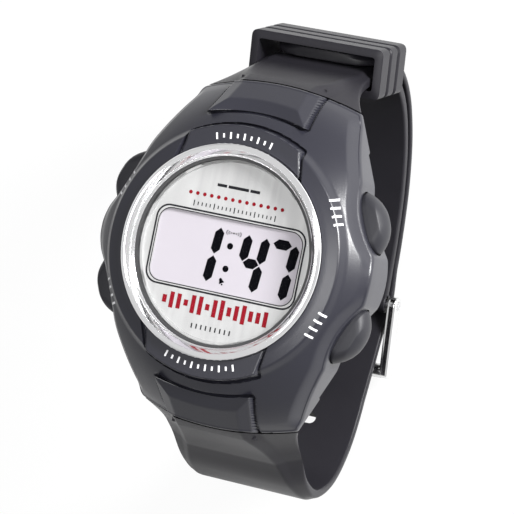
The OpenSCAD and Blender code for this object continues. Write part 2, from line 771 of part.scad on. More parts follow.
// Each strap pin has its domed head at the 3 o'clock side
module strap_pins() {
    head_x = pin_half_len + pin_head_r * tan(flank_angle) + seat_gap;
    color(steel) for (side = [-1, 1])
        translate([0, side * pin_y, pin_z]) rotate([0, 90, 0]) rotate_extrude($fn = 36) polygon([
            [0, -pin_half_len + 0.3], [pin_r, -pin_half_len + 0.3], [pin_r, head_x],
            [pin_head_r, head_x], [pin_head_r, head_x + 0.3 * pin_head_h],
            [0.75 * pin_head_r, head_x + 0.8 * pin_head_h],
            [0.4 * pin_head_r, head_x + pin_head_h], [0, head_x + pin_head_h]]);
}

// Straps. A strap follows a line on its wrist side, in the Y and Z plane of the watch.
// Each sample of that line is [y, z, tangent y, tangent z, length from the case].

function spline_at(p, k) =
    let (n = len(p) - 1, i = min(n - 1, floor(k)), t = k - i,
         a = i > 0 ? p[i - 1] : 2 * p[0] - p[1], b = p[i], c = p[i + 1],
         d = i < n - 1 ? p[i + 2] : 2 * p[n] - p[n - 1])
    0.5 * (2 * b + (c - a) * t + (2 * a - 5 * b + 4 * c - d) * t * t
        + (3 * b - 3 * c + d - a) * t * t * t);

function unit(v) = v / norm(v);

// Samples of the smooth line through the points p, n to each stretch
function line_points(p, n) = [for (k = [0:n * (len(p) - 1)]) spline_at(p, k / n)];

function with_length(q, i = 0, s = 0, out = []) =
    i == len(q) ? out
    : let (before = q[max(0, i - 1)], after = q[min(len(q) - 1, i + 1)],
           s_here = s + norm(q[i] - before), t = unit(after - before))
      with_length(q, i + 1, s_here, concat(out, [[q[i][0], q[i][1], t[0], t[1], s_here]]));

// The sample at a length s along a line
function sample_at(line, s, i = 0) =
    i >= len(line) - 2 || line[i + 1][4] >= s
    ? let (a = line[i], b = line[i + 1]) a + (b - a) * (s - a[4]) / (b[4] - a[4])
    : sample_at(line, s, i + 1);

line_steps = 5;

short_points = [
    [22.6, 0.3], [26.2, -5.8], [28.8, -12.0], [loop_y12, -loop_fold_z], [27.3, -24.6],
    [21.6, -29.2], [14.4, -32.2], [7, -loop_depth + 1.0], [1.4, -loop_depth + 0.4],
    [-3.4, -loop_depth]];
short_line = with_length(line_points(short_points, line_steps));

// Short strap: half width, thickness, edge height and crown lines at a length s
short_taper = 10;
function short_half_w(s) = mix(strap_root_half_w, strap_half_w, sin(90 * min(1, s / short_taper)));
function short_thick(s) = mix(root_t, short_t, s / short_taper);

// Place off the short strap's line, h outwards from its wrist side
function off_short(k, h) =
    let (p = spline_at(short_points, k), q = spline_at(short_points, k + 0.01),
         r = spline_at(short_points, k - 0.01), t = unit(q - r))
    p + h * [-t[1], t[0]];

// Hinge of the buckle, at the short strap's end, and the buckle's tilt from the Y axis
barrel_r = hinge_r + hinge_gap + barrel_wall;
hinge_y = short_points[len(short_points) - 1][0];
hinge_z = -loop_depth - short_t / 2 - 0.1;
buckle_tilt = 11.7;
bar_y = hinge_y - buckle_len * cos(buckle_tilt);
bar_z = hinge_z - buckle_len * sin(buckle_tilt);

tail_h = short_t + layer_gap;
tail_tip_k = 2.35;
tail_count = 12;
tail_from_k = len(short_points) - 2;
tail_step_k = (tail_from_k - tail_tip_k) / (tail_count - 1);
long_points = concat(
    [[-22.6, 0.3], [-25.4, -4.6], [-28.4, -8.9], [-31.2, -13.4], [-loop_y6, -loop_fold_z - 0.8],
     [-31.0, -25.6], [-26.6, -30.2], [-21, -33.0], [bar_y - 0.6, bar_z + bar_r + 0.35 + long_t],
     [hinge_y - 5, -loop_depth - 1.25], [hinge_y, hinge_z - barrel_r - 0.2]],
    [for (i = [0:tail_count - 1]) off_short(tail_from_k - i * tail_step_k, tail_h)]);
long_line = with_length(line_points(long_points, line_steps));
long_len = long_line[len(long_line) - 1][4];

// Lengths along the long strap of its waist, of its full taper and of its rounded tip
long_waist_s = 8;
long_taper = 44;
tip_len = 7;
function long_half_w(s) =
    let (body = s < long_waist_s
             ? mix(strap_root_half_w, long_waist_w, sin(90 * s / long_waist_s))
             : mix(long_waist_w, strap_half_w, (s - long_waist_s) / (long_taper - long_waist_s)),
         into_tip = max(0, (s - long_len + tip_len) / tip_len))
    body * (0.35 + 0.65 * sqrt(max(0, 1 - into_tip * into_tip)));
function long_thick(s) =
    mix(mix(root_t, long_t, s / short_taper), tip_t, (s - long_taper) / (long_len - long_taper));

// Drops and half widths of a strap's side facets, away from the case and beside it
edge_drop = [0.65, 1.5];
band_step = [0.35, 0.5];
band_half_w = [strap_half_w - 1.5, 5.8];
facet_half_w = [strap_half_w - 0.8, 7.2];

// Cross-section of a strap: a raised middle band, side facets and low edges
function strap_section(w, t, near) =
    let (edge = t - mix(edge_drop[0], edge_drop[1], near),
         step = mix(band_step[0], band_step[1], near),
         inner = mix(band_half_w[0] + w - strap_half_w, band_half_w[1], near),
         outer = mix(facet_half_w[0] + w - strap_half_w, facet_half_w[1], near))
    [[-w, 0], [w, 0], [w, edge], [outer, t - step], [inner, t], [-inner, t],
     [-outer, t - step], [-w, edge]];

// Lofts strap sections along a line; side is 1 where the wrist lies on the line's right
module strap_loft(line, side, sections) {
    n = len(sections[0]);
    rings = len(line);
    points = [for (i = [0:rings - 1], q = sections[i])
        let (p = line[i], nrm = side * [-p[3], p[2]])
        [q[0], p[0] + nrm[0] * q[1], p[1] + nrm[1] * q[1]]];
    walls = [for (i = [0:rings - 2], j = [0:n - 1])
        let (a = i * n + j, b = i * n + (j + 1) % n, c = b + n, d = a + n)
        side > 0 ? [a, b, c, d] : [d, c, b, a]];
    first = [for (j = [0:n - 1]) side > 0 ? n - 1 - j : j];
    last = [for (j = [0:n - 1]) (rings - 1) * n + (side > 0 ? j : n - 1 - j)];
    polyhedron(points = points, faces = concat(walls, [first, last]), convexity = 6);
}

// Knuckle and neck that join a strap to its pin, drawn at the 12 o'clock end
module knuckle() {
    translate([-knuckle_w / 2, pin_y, pin_z]) rotate([0, 90, 0])
        cylinder(h = knuckle_w, r = knuckle_r);
    translate([-knuckle_w / 2, pin_y, neck_low_z])
        cube([knuckle_w, case_len / 2 + root_gap + 0.3 - pin_y, neck_top_z - neck_low_z]);
}

module pin_bore() {
    translate([-knuckle_w, pin_y, pin_z]) rotate([0, 90, 0])
        cylinder(h = 2 * knuckle_w, r = pin_r + bore_gap, $fn = 36);
}

// Removes what would lie in the case end
module clear_of_case() {
    translate([0, end_y, -lug_drop - root_gap])
        cylinder(h = dome_top_z, r = end_r + root_gap, $fn = 360);
}

module short_strap() {
    notch_w = tongue_w + 0.6;
    color(resin) difference() {
        union() {
            difference() {
                strap_loft(short_line, 1, [for (p = short_line) strap_section(
                    short_half_w(p[4]), short_thick(p[4]), 1 - min(1, p[4] / short_taper))]);
                clear_of_case();
            }
            knuckle();
            translate([-strap_half_w, hinge_y, hinge_z]) rotate([0, 90, 0])
                cylinder(h = 2 * strap_half_w, r = barrel_r);
        }
        pin_bore();
        translate([-case_w, hinge_y, hinge_z]) rotate([0, 90, 0])
            cylinder(h = 2 * case_w, r = hinge_r + hinge_gap, $fn = 36);
        translate([-notch_w / 2, hinge_y - 2 * barrel_r, hinge_z - 2 * barrel_r])
            cube([notch_w, 4 * barrel_r, 4 * barrel_r]);
    }
}

// Length along the long strap where the tongue passes through it
hole_y = hinge_y - 3.6;
function crossing(i) =
    let (a = long_line[i], b = long_line[i + 1])
    b[0] > hole_y ? a[4] + (b[4] - a[4]) * (hole_y - a[0]) / (b[0] - a[0]) : crossing(i + 1);
first_under_buckle = 6 * line_steps;
hole_s = crossing(first_under_buckle);
holes_below = 3;

module strap_hole(s) {
    p = sample_at(long_line, s);
    half = (hole_len - hole_w) / 2;
    translate([0, p[0], p[1]]) rotate([atan2(p[3], p[2]), 0, 0]) {
        for (side = [-1, 1]) translate([0, side * half, -2 * long_t])
            cylinder(h = 4 * long_t, r = hole_w / 2, $fn = 36);
        translate([-hole_w / 2, -half, -2 * long_t]) cube([hole_w, 2 * half, 4 * long_t]);
    }
}

module long_strap() {
    color(resin) difference() {
        union() {
            difference() {
                strap_loft(long_line, -1, [for (p = long_line) strap_section(
                    long_half_w(p[4]), long_thick(p[4]), 1 - min(1, p[4] / (2 * short_taper)))]);
                rotate([0, 0, 180]) clear_of_case();
            }
            rotate([0, 0, 180]) knuckle();
        }
        rotate([0, 0, 180]) pin_bore();
        for (i = [0:hole_count - 1]) strap_hole(hole_s + (i - holes_below) * hole_pitch);
    }
}

// Buckle

arm_in_x = strap_half_w + arm_gap;
arm_out_x = arm_in_x + arm_t;

module buckle_hinge_bar() {
    color(steel) translate([-arm_out_x, hinge_y, hinge_z]) rotate([0, 90, 0])
        cylinder(h = 2 * arm_out_x, r = hinge_r, $fn = 36);
}

module buckle_frame() {
    bar_lap = 0.2;
    color(steel) difference() {
        translate([0, hinge_y, hinge_z]) rotate([buckle_tilt, 0, 0]) {
            for (side = [-1, 1]) translate([side > 0 ? arm_in_x : -arm_out_x, 0, 0]) {
                rotate([0, 90, 0]) cylinder(h = arm_t, r = arm_h / 2, $fn = 48);
                translate([0, -buckle_len, 0]) rotate([0, 90, 0])
                    cylinder(h = arm_t, r = arm_h / 2, $fn = 48);
                translate([0, -buckle_len, -arm_h / 2]) cube([arm_t, buckle_len, arm_h]);
            }
            translate([-arm_in_x - bar_lap, -buckle_len, 0]) rotate([0, 90, 0])
                cylinder(h = 2 * (arm_in_x + bar_lap), r = bar_r, $fn = 48);
        }
        translate([-case_w, hinge_y, hinge_z]) rotate([0, 90, 0])
            cylinder(h = 2 * case_w, r = hinge_r + bore_gap, $fn = 36);
    }
}

module buckle_tongue() {
    eye_wall = 0.5;
    eye_r = hinge_r + hinge_gap + eye_wall;
    rise = asin((bar_r + tongue_t / 2 + seat_gap) / buckle_len);
    reach = buckle_len + tongue_over;
    color(steel) translate([-tongue_w / 2, hinge_y, hinge_z]) rotate([buckle_tilt + rise, 0, 0])
        difference() {
            union() {
                rotate([0, 90, 0]) cylinder(h = tongue_w, r = eye_r, $fn = 48);
                translate([0, -reach, -tongue_t / 2]) cube([tongue_w, reach, tongue_t]);
                translate([0, -reach, 0]) rotate([0, 90, 0])
                    cylinder(h = tongue_w, r = tongue_t / 2, $fn = 36);
            }
            translate([-pass, 0, 0]) rotate([0, 90, 0])
                cylinder(h = tongue_w + 2 * pass, r = hinge_r + hinge_gap, $fn = 36);
        }
}

// Keeper

keeper_from = sample_at(short_line, keeper_start);
keeper_to = sample_at(short_line, keeper_start + keeper_len);
keeper_mid = (keeper_from + keeper_to) / 2;
keeper_run = keeper_to - keeper_from;
keeper_in_w = strap_half_w + keeper_gap;
keeper_corner_r = 1.1;
keeper_inner_r = 0.5;

function rounded(w, low, high, r) = [for (c = [[1, 1], [-1, 1], [-1, -1], [1, -1]], i = [0:4])
    let (a = 22.5 * i + (c[0] > 0 ? (c[1] > 0 ? 0 : 270) : (c[1] > 0 ? 90 : 180)))
    [c[0] * (w - r) + r * cos(a), (c[1] > 0 ? high - r : low + r) + r * sin(a)]];

module keeper_tube(from, to, grow) {
    translate([0, from, 0]) rotate([90, 0, 0]) mirror([0, 0, 1]) linear_extrude(to - from)
        polygon(rounded(keeper_in_w + keeper_wall + grow, -keeper_gap - keeper_wall - grow,
            keeper_room - keeper_gap + keeper_wall + grow, keeper_corner_r));
}

module keeper() {
    color(resin) translate([0, keeper_mid[0], keeper_mid[1]])
        rotate([atan2(keeper_run[1], keeper_run[0]), 0, 0])
        difference() {
            keeper_tube(-keeper_len / 2, keeper_len / 2, 0);
            translate([0, -keeper_len, 0]) rotate([90, 0, 0]) mirror([0, 0, 1])
                linear_extrude(2 * keeper_len)
                polygon(rounded(keeper_in_w, -keeper_gap, keeper_room - keeper_gap, keeper_inner_r));
            for (at = [-1, 1]) difference() {
                keeper_tube(at * keeper_len / 6 - rib_gap / 2, at * keeper_len / 6 + rib_gap / 2, 1);
                keeper_tube(-keeper_len, keeper_len, -rib_h);
            }
        }
}

case_shell();
dial_ring_polished();
crystal();
crystal_gasket();
dial_surround();
dial_plate();
display_panel();
connector_strips();
movement_frame();
circuit_board();
chip_cover();
contact_leaves();
coin_cell();
cell_clip();
sounder_disc();
case_back();
case_back_gasket();
case_back_screws();
button_seals();
strap_pins();
short_strap();
long_strap();
buckle_hinge_bar();
buckle_frame();
buckle_tongue();
keeper();
button_talk();
button_minute();
button_hour();
button_mode();
clip_talk();
clip_minute();
clip_hour();
clip_mode();
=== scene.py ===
"""Talking digital wristwatch: looks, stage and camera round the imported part.

Lengths in this script are millimetres in the frame of the part, where Z = 0 is the case
back's outer face, +Z points out of the dial and +Y to 12 o'clock. They become metres
where a mesh is made.
"""

import math

import bpy
import numpy as np
from mathutils import Matrix, Vector


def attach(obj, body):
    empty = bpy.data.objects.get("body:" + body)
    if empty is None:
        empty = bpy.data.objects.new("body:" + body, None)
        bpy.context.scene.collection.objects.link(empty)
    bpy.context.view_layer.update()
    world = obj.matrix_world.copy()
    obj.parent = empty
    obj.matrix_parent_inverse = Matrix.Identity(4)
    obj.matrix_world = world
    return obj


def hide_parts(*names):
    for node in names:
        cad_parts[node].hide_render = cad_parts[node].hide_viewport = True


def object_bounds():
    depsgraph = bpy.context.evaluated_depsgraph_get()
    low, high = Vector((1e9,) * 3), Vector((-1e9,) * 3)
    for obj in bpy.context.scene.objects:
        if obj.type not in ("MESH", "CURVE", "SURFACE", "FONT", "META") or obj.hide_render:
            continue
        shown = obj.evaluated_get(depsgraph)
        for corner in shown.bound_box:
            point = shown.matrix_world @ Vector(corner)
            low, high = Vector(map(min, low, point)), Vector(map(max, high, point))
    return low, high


MM = 0.001

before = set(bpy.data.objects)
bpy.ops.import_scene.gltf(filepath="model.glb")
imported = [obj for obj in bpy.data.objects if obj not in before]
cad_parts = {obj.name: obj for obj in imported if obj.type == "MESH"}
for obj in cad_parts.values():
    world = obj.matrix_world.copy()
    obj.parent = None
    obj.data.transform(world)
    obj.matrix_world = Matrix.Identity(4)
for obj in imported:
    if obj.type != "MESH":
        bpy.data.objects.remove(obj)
cad_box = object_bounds()


# Driving dimensions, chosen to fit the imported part

CASE_W = 42.9
CASE_LEN = 50.6
FLANK_ANGLE = math.radians(23.5)
FLANK_DIST = 20.8
END_R = 41.0
DOME_R = 30.0
DOME_TOP_Z = 16.6
COLLAR_R = 17.8
COLLAR_Z = 12.1
COLLAR_FALL = 0.6
COLLAR_RUN = 0.8
COLLAR_FOOT_R = COLLAR_R + COLLAR_RUN
LUG_DROP = 0.6
UNDER_BEVEL = 0.9
OVER_BEVEL = 0.9
OVER_DROP = 1.7
CAVITY_R = 16.2
RECESS_Y = 18.1
BACK_T = 0.8
GROOVE_W = 0.4
GROOVE_D = 0.6
SHIELD_HALF_W = 8.7
SHIELD_ROOT_HALF_W = 9.9
SHIELD_R = 18.3
SHIELD_Z = 11.7
TAB_HALF_W = 7.6
TAB_END_HALF_W = 6.6
TAB_Y = 19.5
TAB_BOW = 1.1
TAB_RISE = 0.6
TAB_BEVEL = 1.8
TAB_BEVEL_SLOPE = 0.62
FACE_BLEND = 0.25
EDGE_BLUR = 0.07
PANEL_ROUND_W = 0.22
PANEL_ROUND_D = 0.16
STEP_OUT = 0.08
STEP_IN = 0.04
NOSE_SHARE = 0.15
NOSE_RUN = (0.5, 5.4)
END_RUN = (21.2, 23.0)

RING_R = 15.5
RING_Z = 12.5
RING_CREST = 0.45
CRYSTAL_Z = 10.6
NECK_IN_R = 13.65
NECK_OUT_R = 14.2
FLANGE_TOP_Z = 11.1
DIAL_Z = 10.1
LCD_TOP_Z = 9.75
DISPLAY_Y = -0.54

BUTTON_ANGLE = math.radians(23.5)
BUTTON_Z = 4.2
BUTTON_LEN = 9.0
BUTTON_H = 4.6
BUTTON_BACK = FLANK_DIST - 1.2
BUTTON_FRONT = FLANK_DIST + 2.2
BUTTON_SIDE_R = 3.4
STEM_END = 14.75
STEM_R = 0.75
POCKET_FLOOR = BUTTON_BACK - 0.9
CAP_GAP = 0.2
SCALLOP_D = 0.7
SCALLOP_HALF_LEN = 5.7
BUTTONS = {
    "talk": BUTTON_ANGLE,
    "minute": -BUTTON_ANGLE,
    "hour": math.pi + BUTTON_ANGLE,
    "mode": math.pi - BUTTON_ANGLE,
}

PIN_Y = 21.2
PIN_Z = 1.1
PIN_R = 0.55
PIN_HALF_LEN = 11.3
KNUCKLE_R = 1.6
KNUCKLE_HALF_W = 9.0
KNUCKLE_GAP = 0.2
NECK_HALF_W = 6.8
NECK_LOW_Z = -0.5
NECK_TOP_Z = 1.5

STRAP_ROOT_HALF_W = 12.6
STRAP_HALF_W = 9.0
ROOT_T = 4.1
ROOT_RUN = 4.0
SHORT_T = 2.0
LONG_T = 1.9
TIP_T = 1.5
LAYER_GAP = 0.25
ROOT_GAP = 0.15
LOOP_Y12 = 30.0
LOOP_Y6 = 32.7
LOOP_DEPTH = 34.7
LOOP_FOLD_Z = 18.5
SHORT_TAPER = 10.0
LONG_WAIST_S = 8.0
LONG_WAIST_W = 10.9
LONG_TAPER = 44.0
TIP_LEN = 5.5
HOLE_COUNT = 8
HOLES_BELOW = 3
HOLE_PITCH = 5.7
HOLE_W = 2.4
HOLE_LEN = 5.2
HOLE_BACK = 3.6
SLOT_W = 5.0
SLOT_LEN = 1.9
BAND_HALF_W = 5.4
FACET_HALF_W = 7.2
ROOT_EDGE_DROP = 3.25
ROOT_FACET_DROP = 1.5
EDGE_DROP = 0.65
FACET_DROP = 0.35
SECTION_ROUND = 0.35

HINGE_Y = -3.4
HINGE_Z = -LOOP_DEPTH - SHORT_T / 2 - 0.1
BARREL_R = 1.45
BUCKLE_LEN = 10.8
BUCKLE_TILT = math.radians(11.7)
BAR_R = 1.1
BAR_CHAMFER = 0.12
TONGUE_W = 1.6
TONGUE_ROOM = 0.3

KEEPER_START = 10.8
KEEPER_LEN = 9.4
KEEPER_WALL = 1.25
KEEPER_ROOM = 5.1
KEEPER_GAP = 0.45
RIB_H = 0.45
RIB_EDGE = 0.12


# Meshes

def mesh_piece(name, points, faces, material, body="watch", smooth=True):
    """Object from points in millimetres that rides on a body of the part."""
    mesh = bpy.data.meshes.new(name)
    mesh.from_pydata([tuple(MM * c for c in p) for p in points], [], faces)
    mesh.validate()
    mesh.materials.append(material)
    for face in mesh.polygons:
        face.use_smooth = smooth
    piece = bpy.data.objects.new(name, mesh)
    bpy.context.collection.objects.link(piece)
    if body:
        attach(piece, body)
    return piece


def ring_faces(ring_count, n, looped=False):
    """Quads between rings of n points, joined back to the first ring where looped."""
    faces = []
    last = ring_count if looped else ring_count - 1
    for i in range(last):
        a, b = i * n, ((i + 1) % ring_count) * n
        for j in range(n):
            k = (j + 1) % n
            faces.append((a + j, a + k, b + k, b + j))
    return faces


def loft(name, rings, material, body="watch", looped=False):
    """Closed skin over a run of rings, capped at both ends unless it is looped."""
    n = len(rings[0])
    faces = ring_faces(len(rings), n, looped)
    if not looped:
        faces.append(tuple(reversed(range(n))))
        faces.append(tuple(range((len(rings) - 1) * n, len(rings) * n)))
    return mesh_piece(name, [p for ring in rings for p in ring], faces, material, body)


def fix_normals(piece):
    """Turns the faces of a closed mesh outwards."""
    bpy.context.view_layer.objects.active = piece
    bpy.ops.object.select_all(action="DESELECT")
    piece.select_set(True)
    bpy.ops.object.mode_set(mode="EDIT")
    bpy.ops.mesh.select_all(action="SELECT")
    bpy.ops.mesh.normals_make_consistent(inside=False)
    bpy.ops.object.mode_set(mode="OBJECT")


def lathe(name, profile, material, body="watch", steps=256):
    """Closed profile of [radius, height] points turned about the dial's axis."""
    rings = []
    for i in range(steps):
        a = 2 * math.pi * i / steps
        rings.append([(r * math.cos(a), r * math.sin(a), z) for r, z in profile])
    return loft(name, rings, material, body, looped=True)


def smooth_by_angle(piece, degrees):
    """Smooth shading that stays sharp over edges steeper than the angle."""
    piece.data.set_sharp_from_angle(angle=math.radians(degrees))


def cut(piece, cutters):
    """Subtracts the cutters from the piece and removes them."""
    for cutter in cutters:
        fix_normals(cutter)
    fix_normals(piece)
    bpy.context.view_layer.objects.active = piece
    for cutter in cutters:
        step = piece.modifiers.new("cut", "BOOLEAN")
        step.operation = "DIFFERENCE"
        step.solver = "EXACT"
        step.object = cutter
        bpy.ops.object.modifier_apply(modifier=step.name)
    for cutter in cutters:
        bpy.data.objects.remove(cutter, do_unlink=True)


def rounded(points, radius, steps=3):
    """Closed outline with each corner replaced by a short curve."""
    points = [np.array(p, float) for p in points]
    out = []
    for i, p in enumerate(points):
        before, after = points[i - 1], points[(i + 1) % len(points)]
        to_before, to_after = before - p, after - p
        d1, d2 = np.linalg.norm(to_before), np.linalg.norm(to_after)
        a = p + to_before / d1 * min(radius, 0.45 * d1)
        b = p + to_after / d2 * min(radius, 0.45 * d2)
        for k in range(steps + 1):
            u = k / steps
            out.append((1 - u) ** 2 * a + 2 * u * (1 - u) * p + u * u * b)
    return out


def stadium(half_len, half_h, steps=12):
    """Outline of a round-ended bar, [along, up] points."""
    straight = half_len - half_h
    out = []
    for side, centre in ((0, straight), (1, -straight)):
        for k in range(steps + 1):
            a = math.pi * (side + k / steps) - math.pi / 2
            out.append((centre + half_h * math.cos(a), half_h * math.sin(a)))
    return out


def disc(cx, cy, r, steps=24):
    angles = [2 * math.pi * i / steps for i in range(steps)]
    return [(cx + r * math.cos(a), cy + r * math.sin(a)) for a in angles]


def ring_about_x(x, y, z, r, steps):
    """Ring of points round an axis that runs along X."""
    angles = np.linspace(0, 2 * math.pi, steps, endpoint=False)
    return [(x, y + r * math.cos(a), z + r * math.sin(a)) for a in angles]


# Procedural finishes

def new_material(name):
    material = bpy.data.materials.new(name)
    material.use_nodes = True
    return material, material.node_tree.nodes, material.node_tree.links


def grain_group():
    """Fine moulded or brushed grain: gives a height and a slow shade variation."""
    group = bpy.data.node_groups.new("fine_grain", "ShaderNodeTree")
    face = group.interface
    face.new_socket(name="Scale", in_out="INPUT", socket_type="NodeSocketFloat")
    face.new_socket(name="Stretch", in_out="INPUT", socket_type="NodeSocketVector")
    face.new_socket(name="Height", in_out="OUTPUT", socket_type="NodeSocketFloat")
    face.new_socket(name="Shade", in_out="OUTPUT", socket_type="NodeSocketFloat")
    nodes, links = group.nodes, group.links
    given = nodes.new("NodeGroupInput")
    out = nodes.new("NodeGroupOutput")
    place = nodes.new("ShaderNodeTexCoord")
    mapping = nodes.new("ShaderNodeMapping")
    fine = nodes.new("ShaderNodeTexNoise")
    slow = nodes.new("ShaderNodeTexNoise")
    fine.inputs["Detail"].default_value = 3.0
    slow.inputs["Scale"].default_value = 120.0
    links.new(place.outputs["Object"], mapping.inputs["Vector"])
    links.new(given.outputs["Stretch"], mapping.inputs["Scale"])
    links.new(mapping.outputs["Vector"], fine.inputs["Vector"])
    links.new(given.outputs["Scale"], fine.inputs["Scale"])
    links.new(mapping.outputs["Vector"], slow.inputs["Vector"])
    links.new(fine.outputs["Fac"], out.inputs["Height"])
    links.new(slow.outputs["Fac"], out.inputs["Shade"])
    return group


GRAIN = grain_group()


def finish_of(name, colour, roughness, metallic=0.0, grain=None, bump=0.0, shade=0.06, coat=0.0,
              specular=0.5, rough_var=0.0):
    """Material with an even colour, a little slow variation and an optional grain."""
    material, nodes, links = new_material(name)
    shader = nodes["Principled BSDF"]
    shader.inputs["Base Color"].default_value = (*colour, 1)
    shader.inputs["Roughness"].default_value = roughness
    shader.inputs["Metallic"].default_value = metallic
    shader.inputs["Coat Weight"].default_value = coat
    shader.inputs["Specular IOR Level"].default_value = specular
    if grain:
        scale, stretch = grain
        texture = nodes.new("ShaderNodeGroup")
        texture.node_tree = GRAIN
        texture.inputs["Scale"].default_value = scale
        texture.inputs["Stretch"].default_value = stretch
        ramp = nodes.new("ShaderNodeMix")
        ramp.data_type = "RGBA"
        ramp.inputs["A"].default_value = (*[c * (1 - shade) for c in colour], 1)
        ramp.inputs["B"].default_value = (*[min(1, c * (1 + shade)) for c in colour], 1)
        links.new(texture.outputs["Shade"], ramp.inputs["Factor"])
        links.new(ramp.outputs["Result"], shader.inputs["Base Color"])
        if rough_var:
            spread = nodes.new("ShaderNodeMapRange")
            spread.inputs["To Min"].default_value = roughness - rough_var
            spread.inputs["To Max"].default_value = roughness + rough_var
            links.new(texture.outputs["Height"], spread.inputs["Value"])
            links.new(spread.outputs["Result"], shader.inputs["Roughness"])
        if bump:
            relief = nodes.new("ShaderNodeBump")
            relief.inputs["Strength"].default_value = bump
            relief.inputs["Distance"].default_value = 0.00005
            links.new(texture.outputs["Height"], relief.inputs["Height"])
            links.new(relief.outputs["Normal"], shader.inputs["Normal"])
    return material


EVEN = (1.0, 1.0, 1.0)
LENGTHWAYS = (9.0, 0.5, 1.0)
TURNED = (1.0, 14.0, 1.0)
MOULD_GRAIN = (5200.0, EVEN)

case_resin = finish_of("case_resin", (0.012, 0.012, 0.017), 0.31, specular=0.36, grain=MOULD_GRAIN,
                       bump=0.22, shade=0.08, rough_var=0.05)
strap_resin = finish_of("strap_resin", (0.010, 0.0095, 0.012), 0.42, specular=0.16, grain=MOULD_GRAIN,
                        bump=0.25, shade=0.1, rough_var=0.05)
button_resin = finish_of("button_resin", (0.011, 0.011, 0.014), 0.5, specular=0.25, grain=MOULD_GRAIN,
                         bump=0.2)
chromed = finish_of("chromed_ring", (0.86, 0.86, 0.87), 0.07, metallic=1.0)
polished = finish_of("polished_steel", (0.72, 0.72, 0.72), 0.12, metallic=1.0)
dark_steel = finish_of("dark_steel", (0.05, 0.05, 0.055), 0.35, metallic=1.0)
plain_steel = finish_of("plain_steel", (0.62, 0.62, 0.63), 0.3, metallic=1.0)
brushed_back = finish_of("brushed_back", (0.6, 0.6, 0.61), 0.34, metallic=1.0, grain=(900.0, TURNED),
                         bump=0.2)
silver_dial = finish_of("silver_dial", (0.36, 0.36, 0.36), 0.42, metallic=0.3, grain=(700.0, LENGTHWAYS),
                        bump=0.18, shade=0.16)
display_film = finish_of("display_film", (0.35, 0.33, 0.36), 0.45, specular=0.2, grain=(500.0, EVEN),
                         shade=0.01)
black_rubber = finish_of("black_rubber", (0.012, 0.012, 0.013), 0.6)
contact_rubber = finish_of("contact_rubber", (0.45, 0.16, 0.12), 0.6)
ivory_plastic = finish_of("ivory_plastic", (0.68, 0.66, 0.6), 0.5)
board_green = finish_of("board_green", (0.01, 0.07, 0.03), 0.3)
black_epoxy = finish_of("black_epoxy", (0.008, 0.008, 0.008), 0.15)
spring_brass = finish_of("spring_brass", (0.7, 0.5, 0.2), 0.3, metallic=1.0)
black_print = finish_of("black_print", (0.008, 0.008, 0.01), 0.6, specular=0.1)
digit_black = finish_of("digit_black", (0.002, 0.002, 0.003), 0.7, specular=0.0)
red_print = finish_of("red_print", (0.17, 0.005, 0.011), 0.6, specular=0.05)
white_print = finish_of("white_print", (0.58, 0.58, 0.59), 0.6, specular=0.2)


def crystal_material():
    material, nodes, links = new_material("clear_crystal")
    shader = nodes["Principled BSDF"]
    shader.inputs["Base Color"].default_value = (0.02, 0.02, 0.02, 1)
    shader.inputs["Roughness"].default_value = 0.02
    shader.inputs["Specular IOR Level"].default_value = 0.3
    shader.inputs["Alpha"].default_value = 0.02
    return material


clear_crystal = crystal_material()


# Case form

NOSE_X = (CASE_W / 2 - FLANK_DIST) / (1 - math.cos(FLANK_ANGLE))
NOSE_R = CASE_W / 2 - NOSE_X
END_Y = CASE_LEN / 2 - END_R
SCALLOP_R = (SCALLOP_HALF_LEN ** 2 + SCALLOP_D ** 2) / (2 * SCALLOP_D)
SCALLOP_C = FLANK_DIST - SCALLOP_D + SCALLOP_R


def soft_min(a, b, k):
    h = np.clip(0.5 + 0.5 * (b - a) / k, 0, 1)
    return b * (1 - h) + a * h - k * h * (1 - h)


def soft_max(a, b, k):
    return -soft_min(-a, -b, k)


def inside_distance(x, y):
    """Distance from the case outline, positive inside, without the scallops."""
    x, y = np.abs(x), np.abs(y)
    flank = FLANK_DIST - x * math.cos(FLANK_ANGLE) - y * math.sin(FLANK_ANGLE)
    nose = NOSE_R - np.hypot(x - NOSE_X, y)
    by_nose = np.arctan2(y, x - NOSE_X) < FLANK_ANGLE
    end = END_R - np.hypot(x, y - END_Y)
    return soft_min(np.where(by_nose, nose, flank), end, 0.25)


def scallop_distance(x, y):
    x, y = np.abs(x), np.abs(y)
    cx, cy = SCALLOP_C * math.cos(BUTTON_ANGLE), SCALLOP_C * math.sin(BUTTON_ANGLE)
    return np.hypot(x - cx, y - cy) - SCALLOP_R


def outline_reach(angle):
    """Distance from the dial's axis to the outline, scallops included, along each angle."""
    low = np.full_like(angle, 17.0)
    high = np.full_like(angle, 30.0)
    for _ in range(40):
        mid = (low + high) / 2
        x, y = mid * np.cos(angle), mid * np.sin(angle)
        inside = soft_min(inside_distance(x, y), scallop_distance(x, y), 0.12) > 0
        low = np.where(inside, mid, low)
        high = np.where(inside, high, mid)
    return low


def dome_height(r, grow=0.0):
    return DOME_TOP_Z - DOME_R + np.sqrt((DOME_R + grow) ** 2 - r * r)


def shield_outline():
    corner = math.asin(SHIELD_HALF_W / SHIELD_R)
    corner_y = SHIELD_R * math.cos(corner)
    root_y = math.sqrt((RING_R - 1) ** 2 - SHIELD_ROOT_HALF_W ** 2)
    n = 24
    arc = [corner * (1 - 2 * i / n) for i in range(n + 1)]
    shoulder_x, shoulder_y = SHIELD_HALF_W + 0.25, corner_y - 1.4
    return ([(-SHIELD_ROOT_HALF_W, root_y), (SHIELD_ROOT_HALF_W, root_y), (shoulder_x, shoulder_y)]
            + [(SHIELD_R * math.sin(a), SHIELD_R * math.cos(a)) for a in arc]
            + [(-shoulder_x, shoulder_y)])


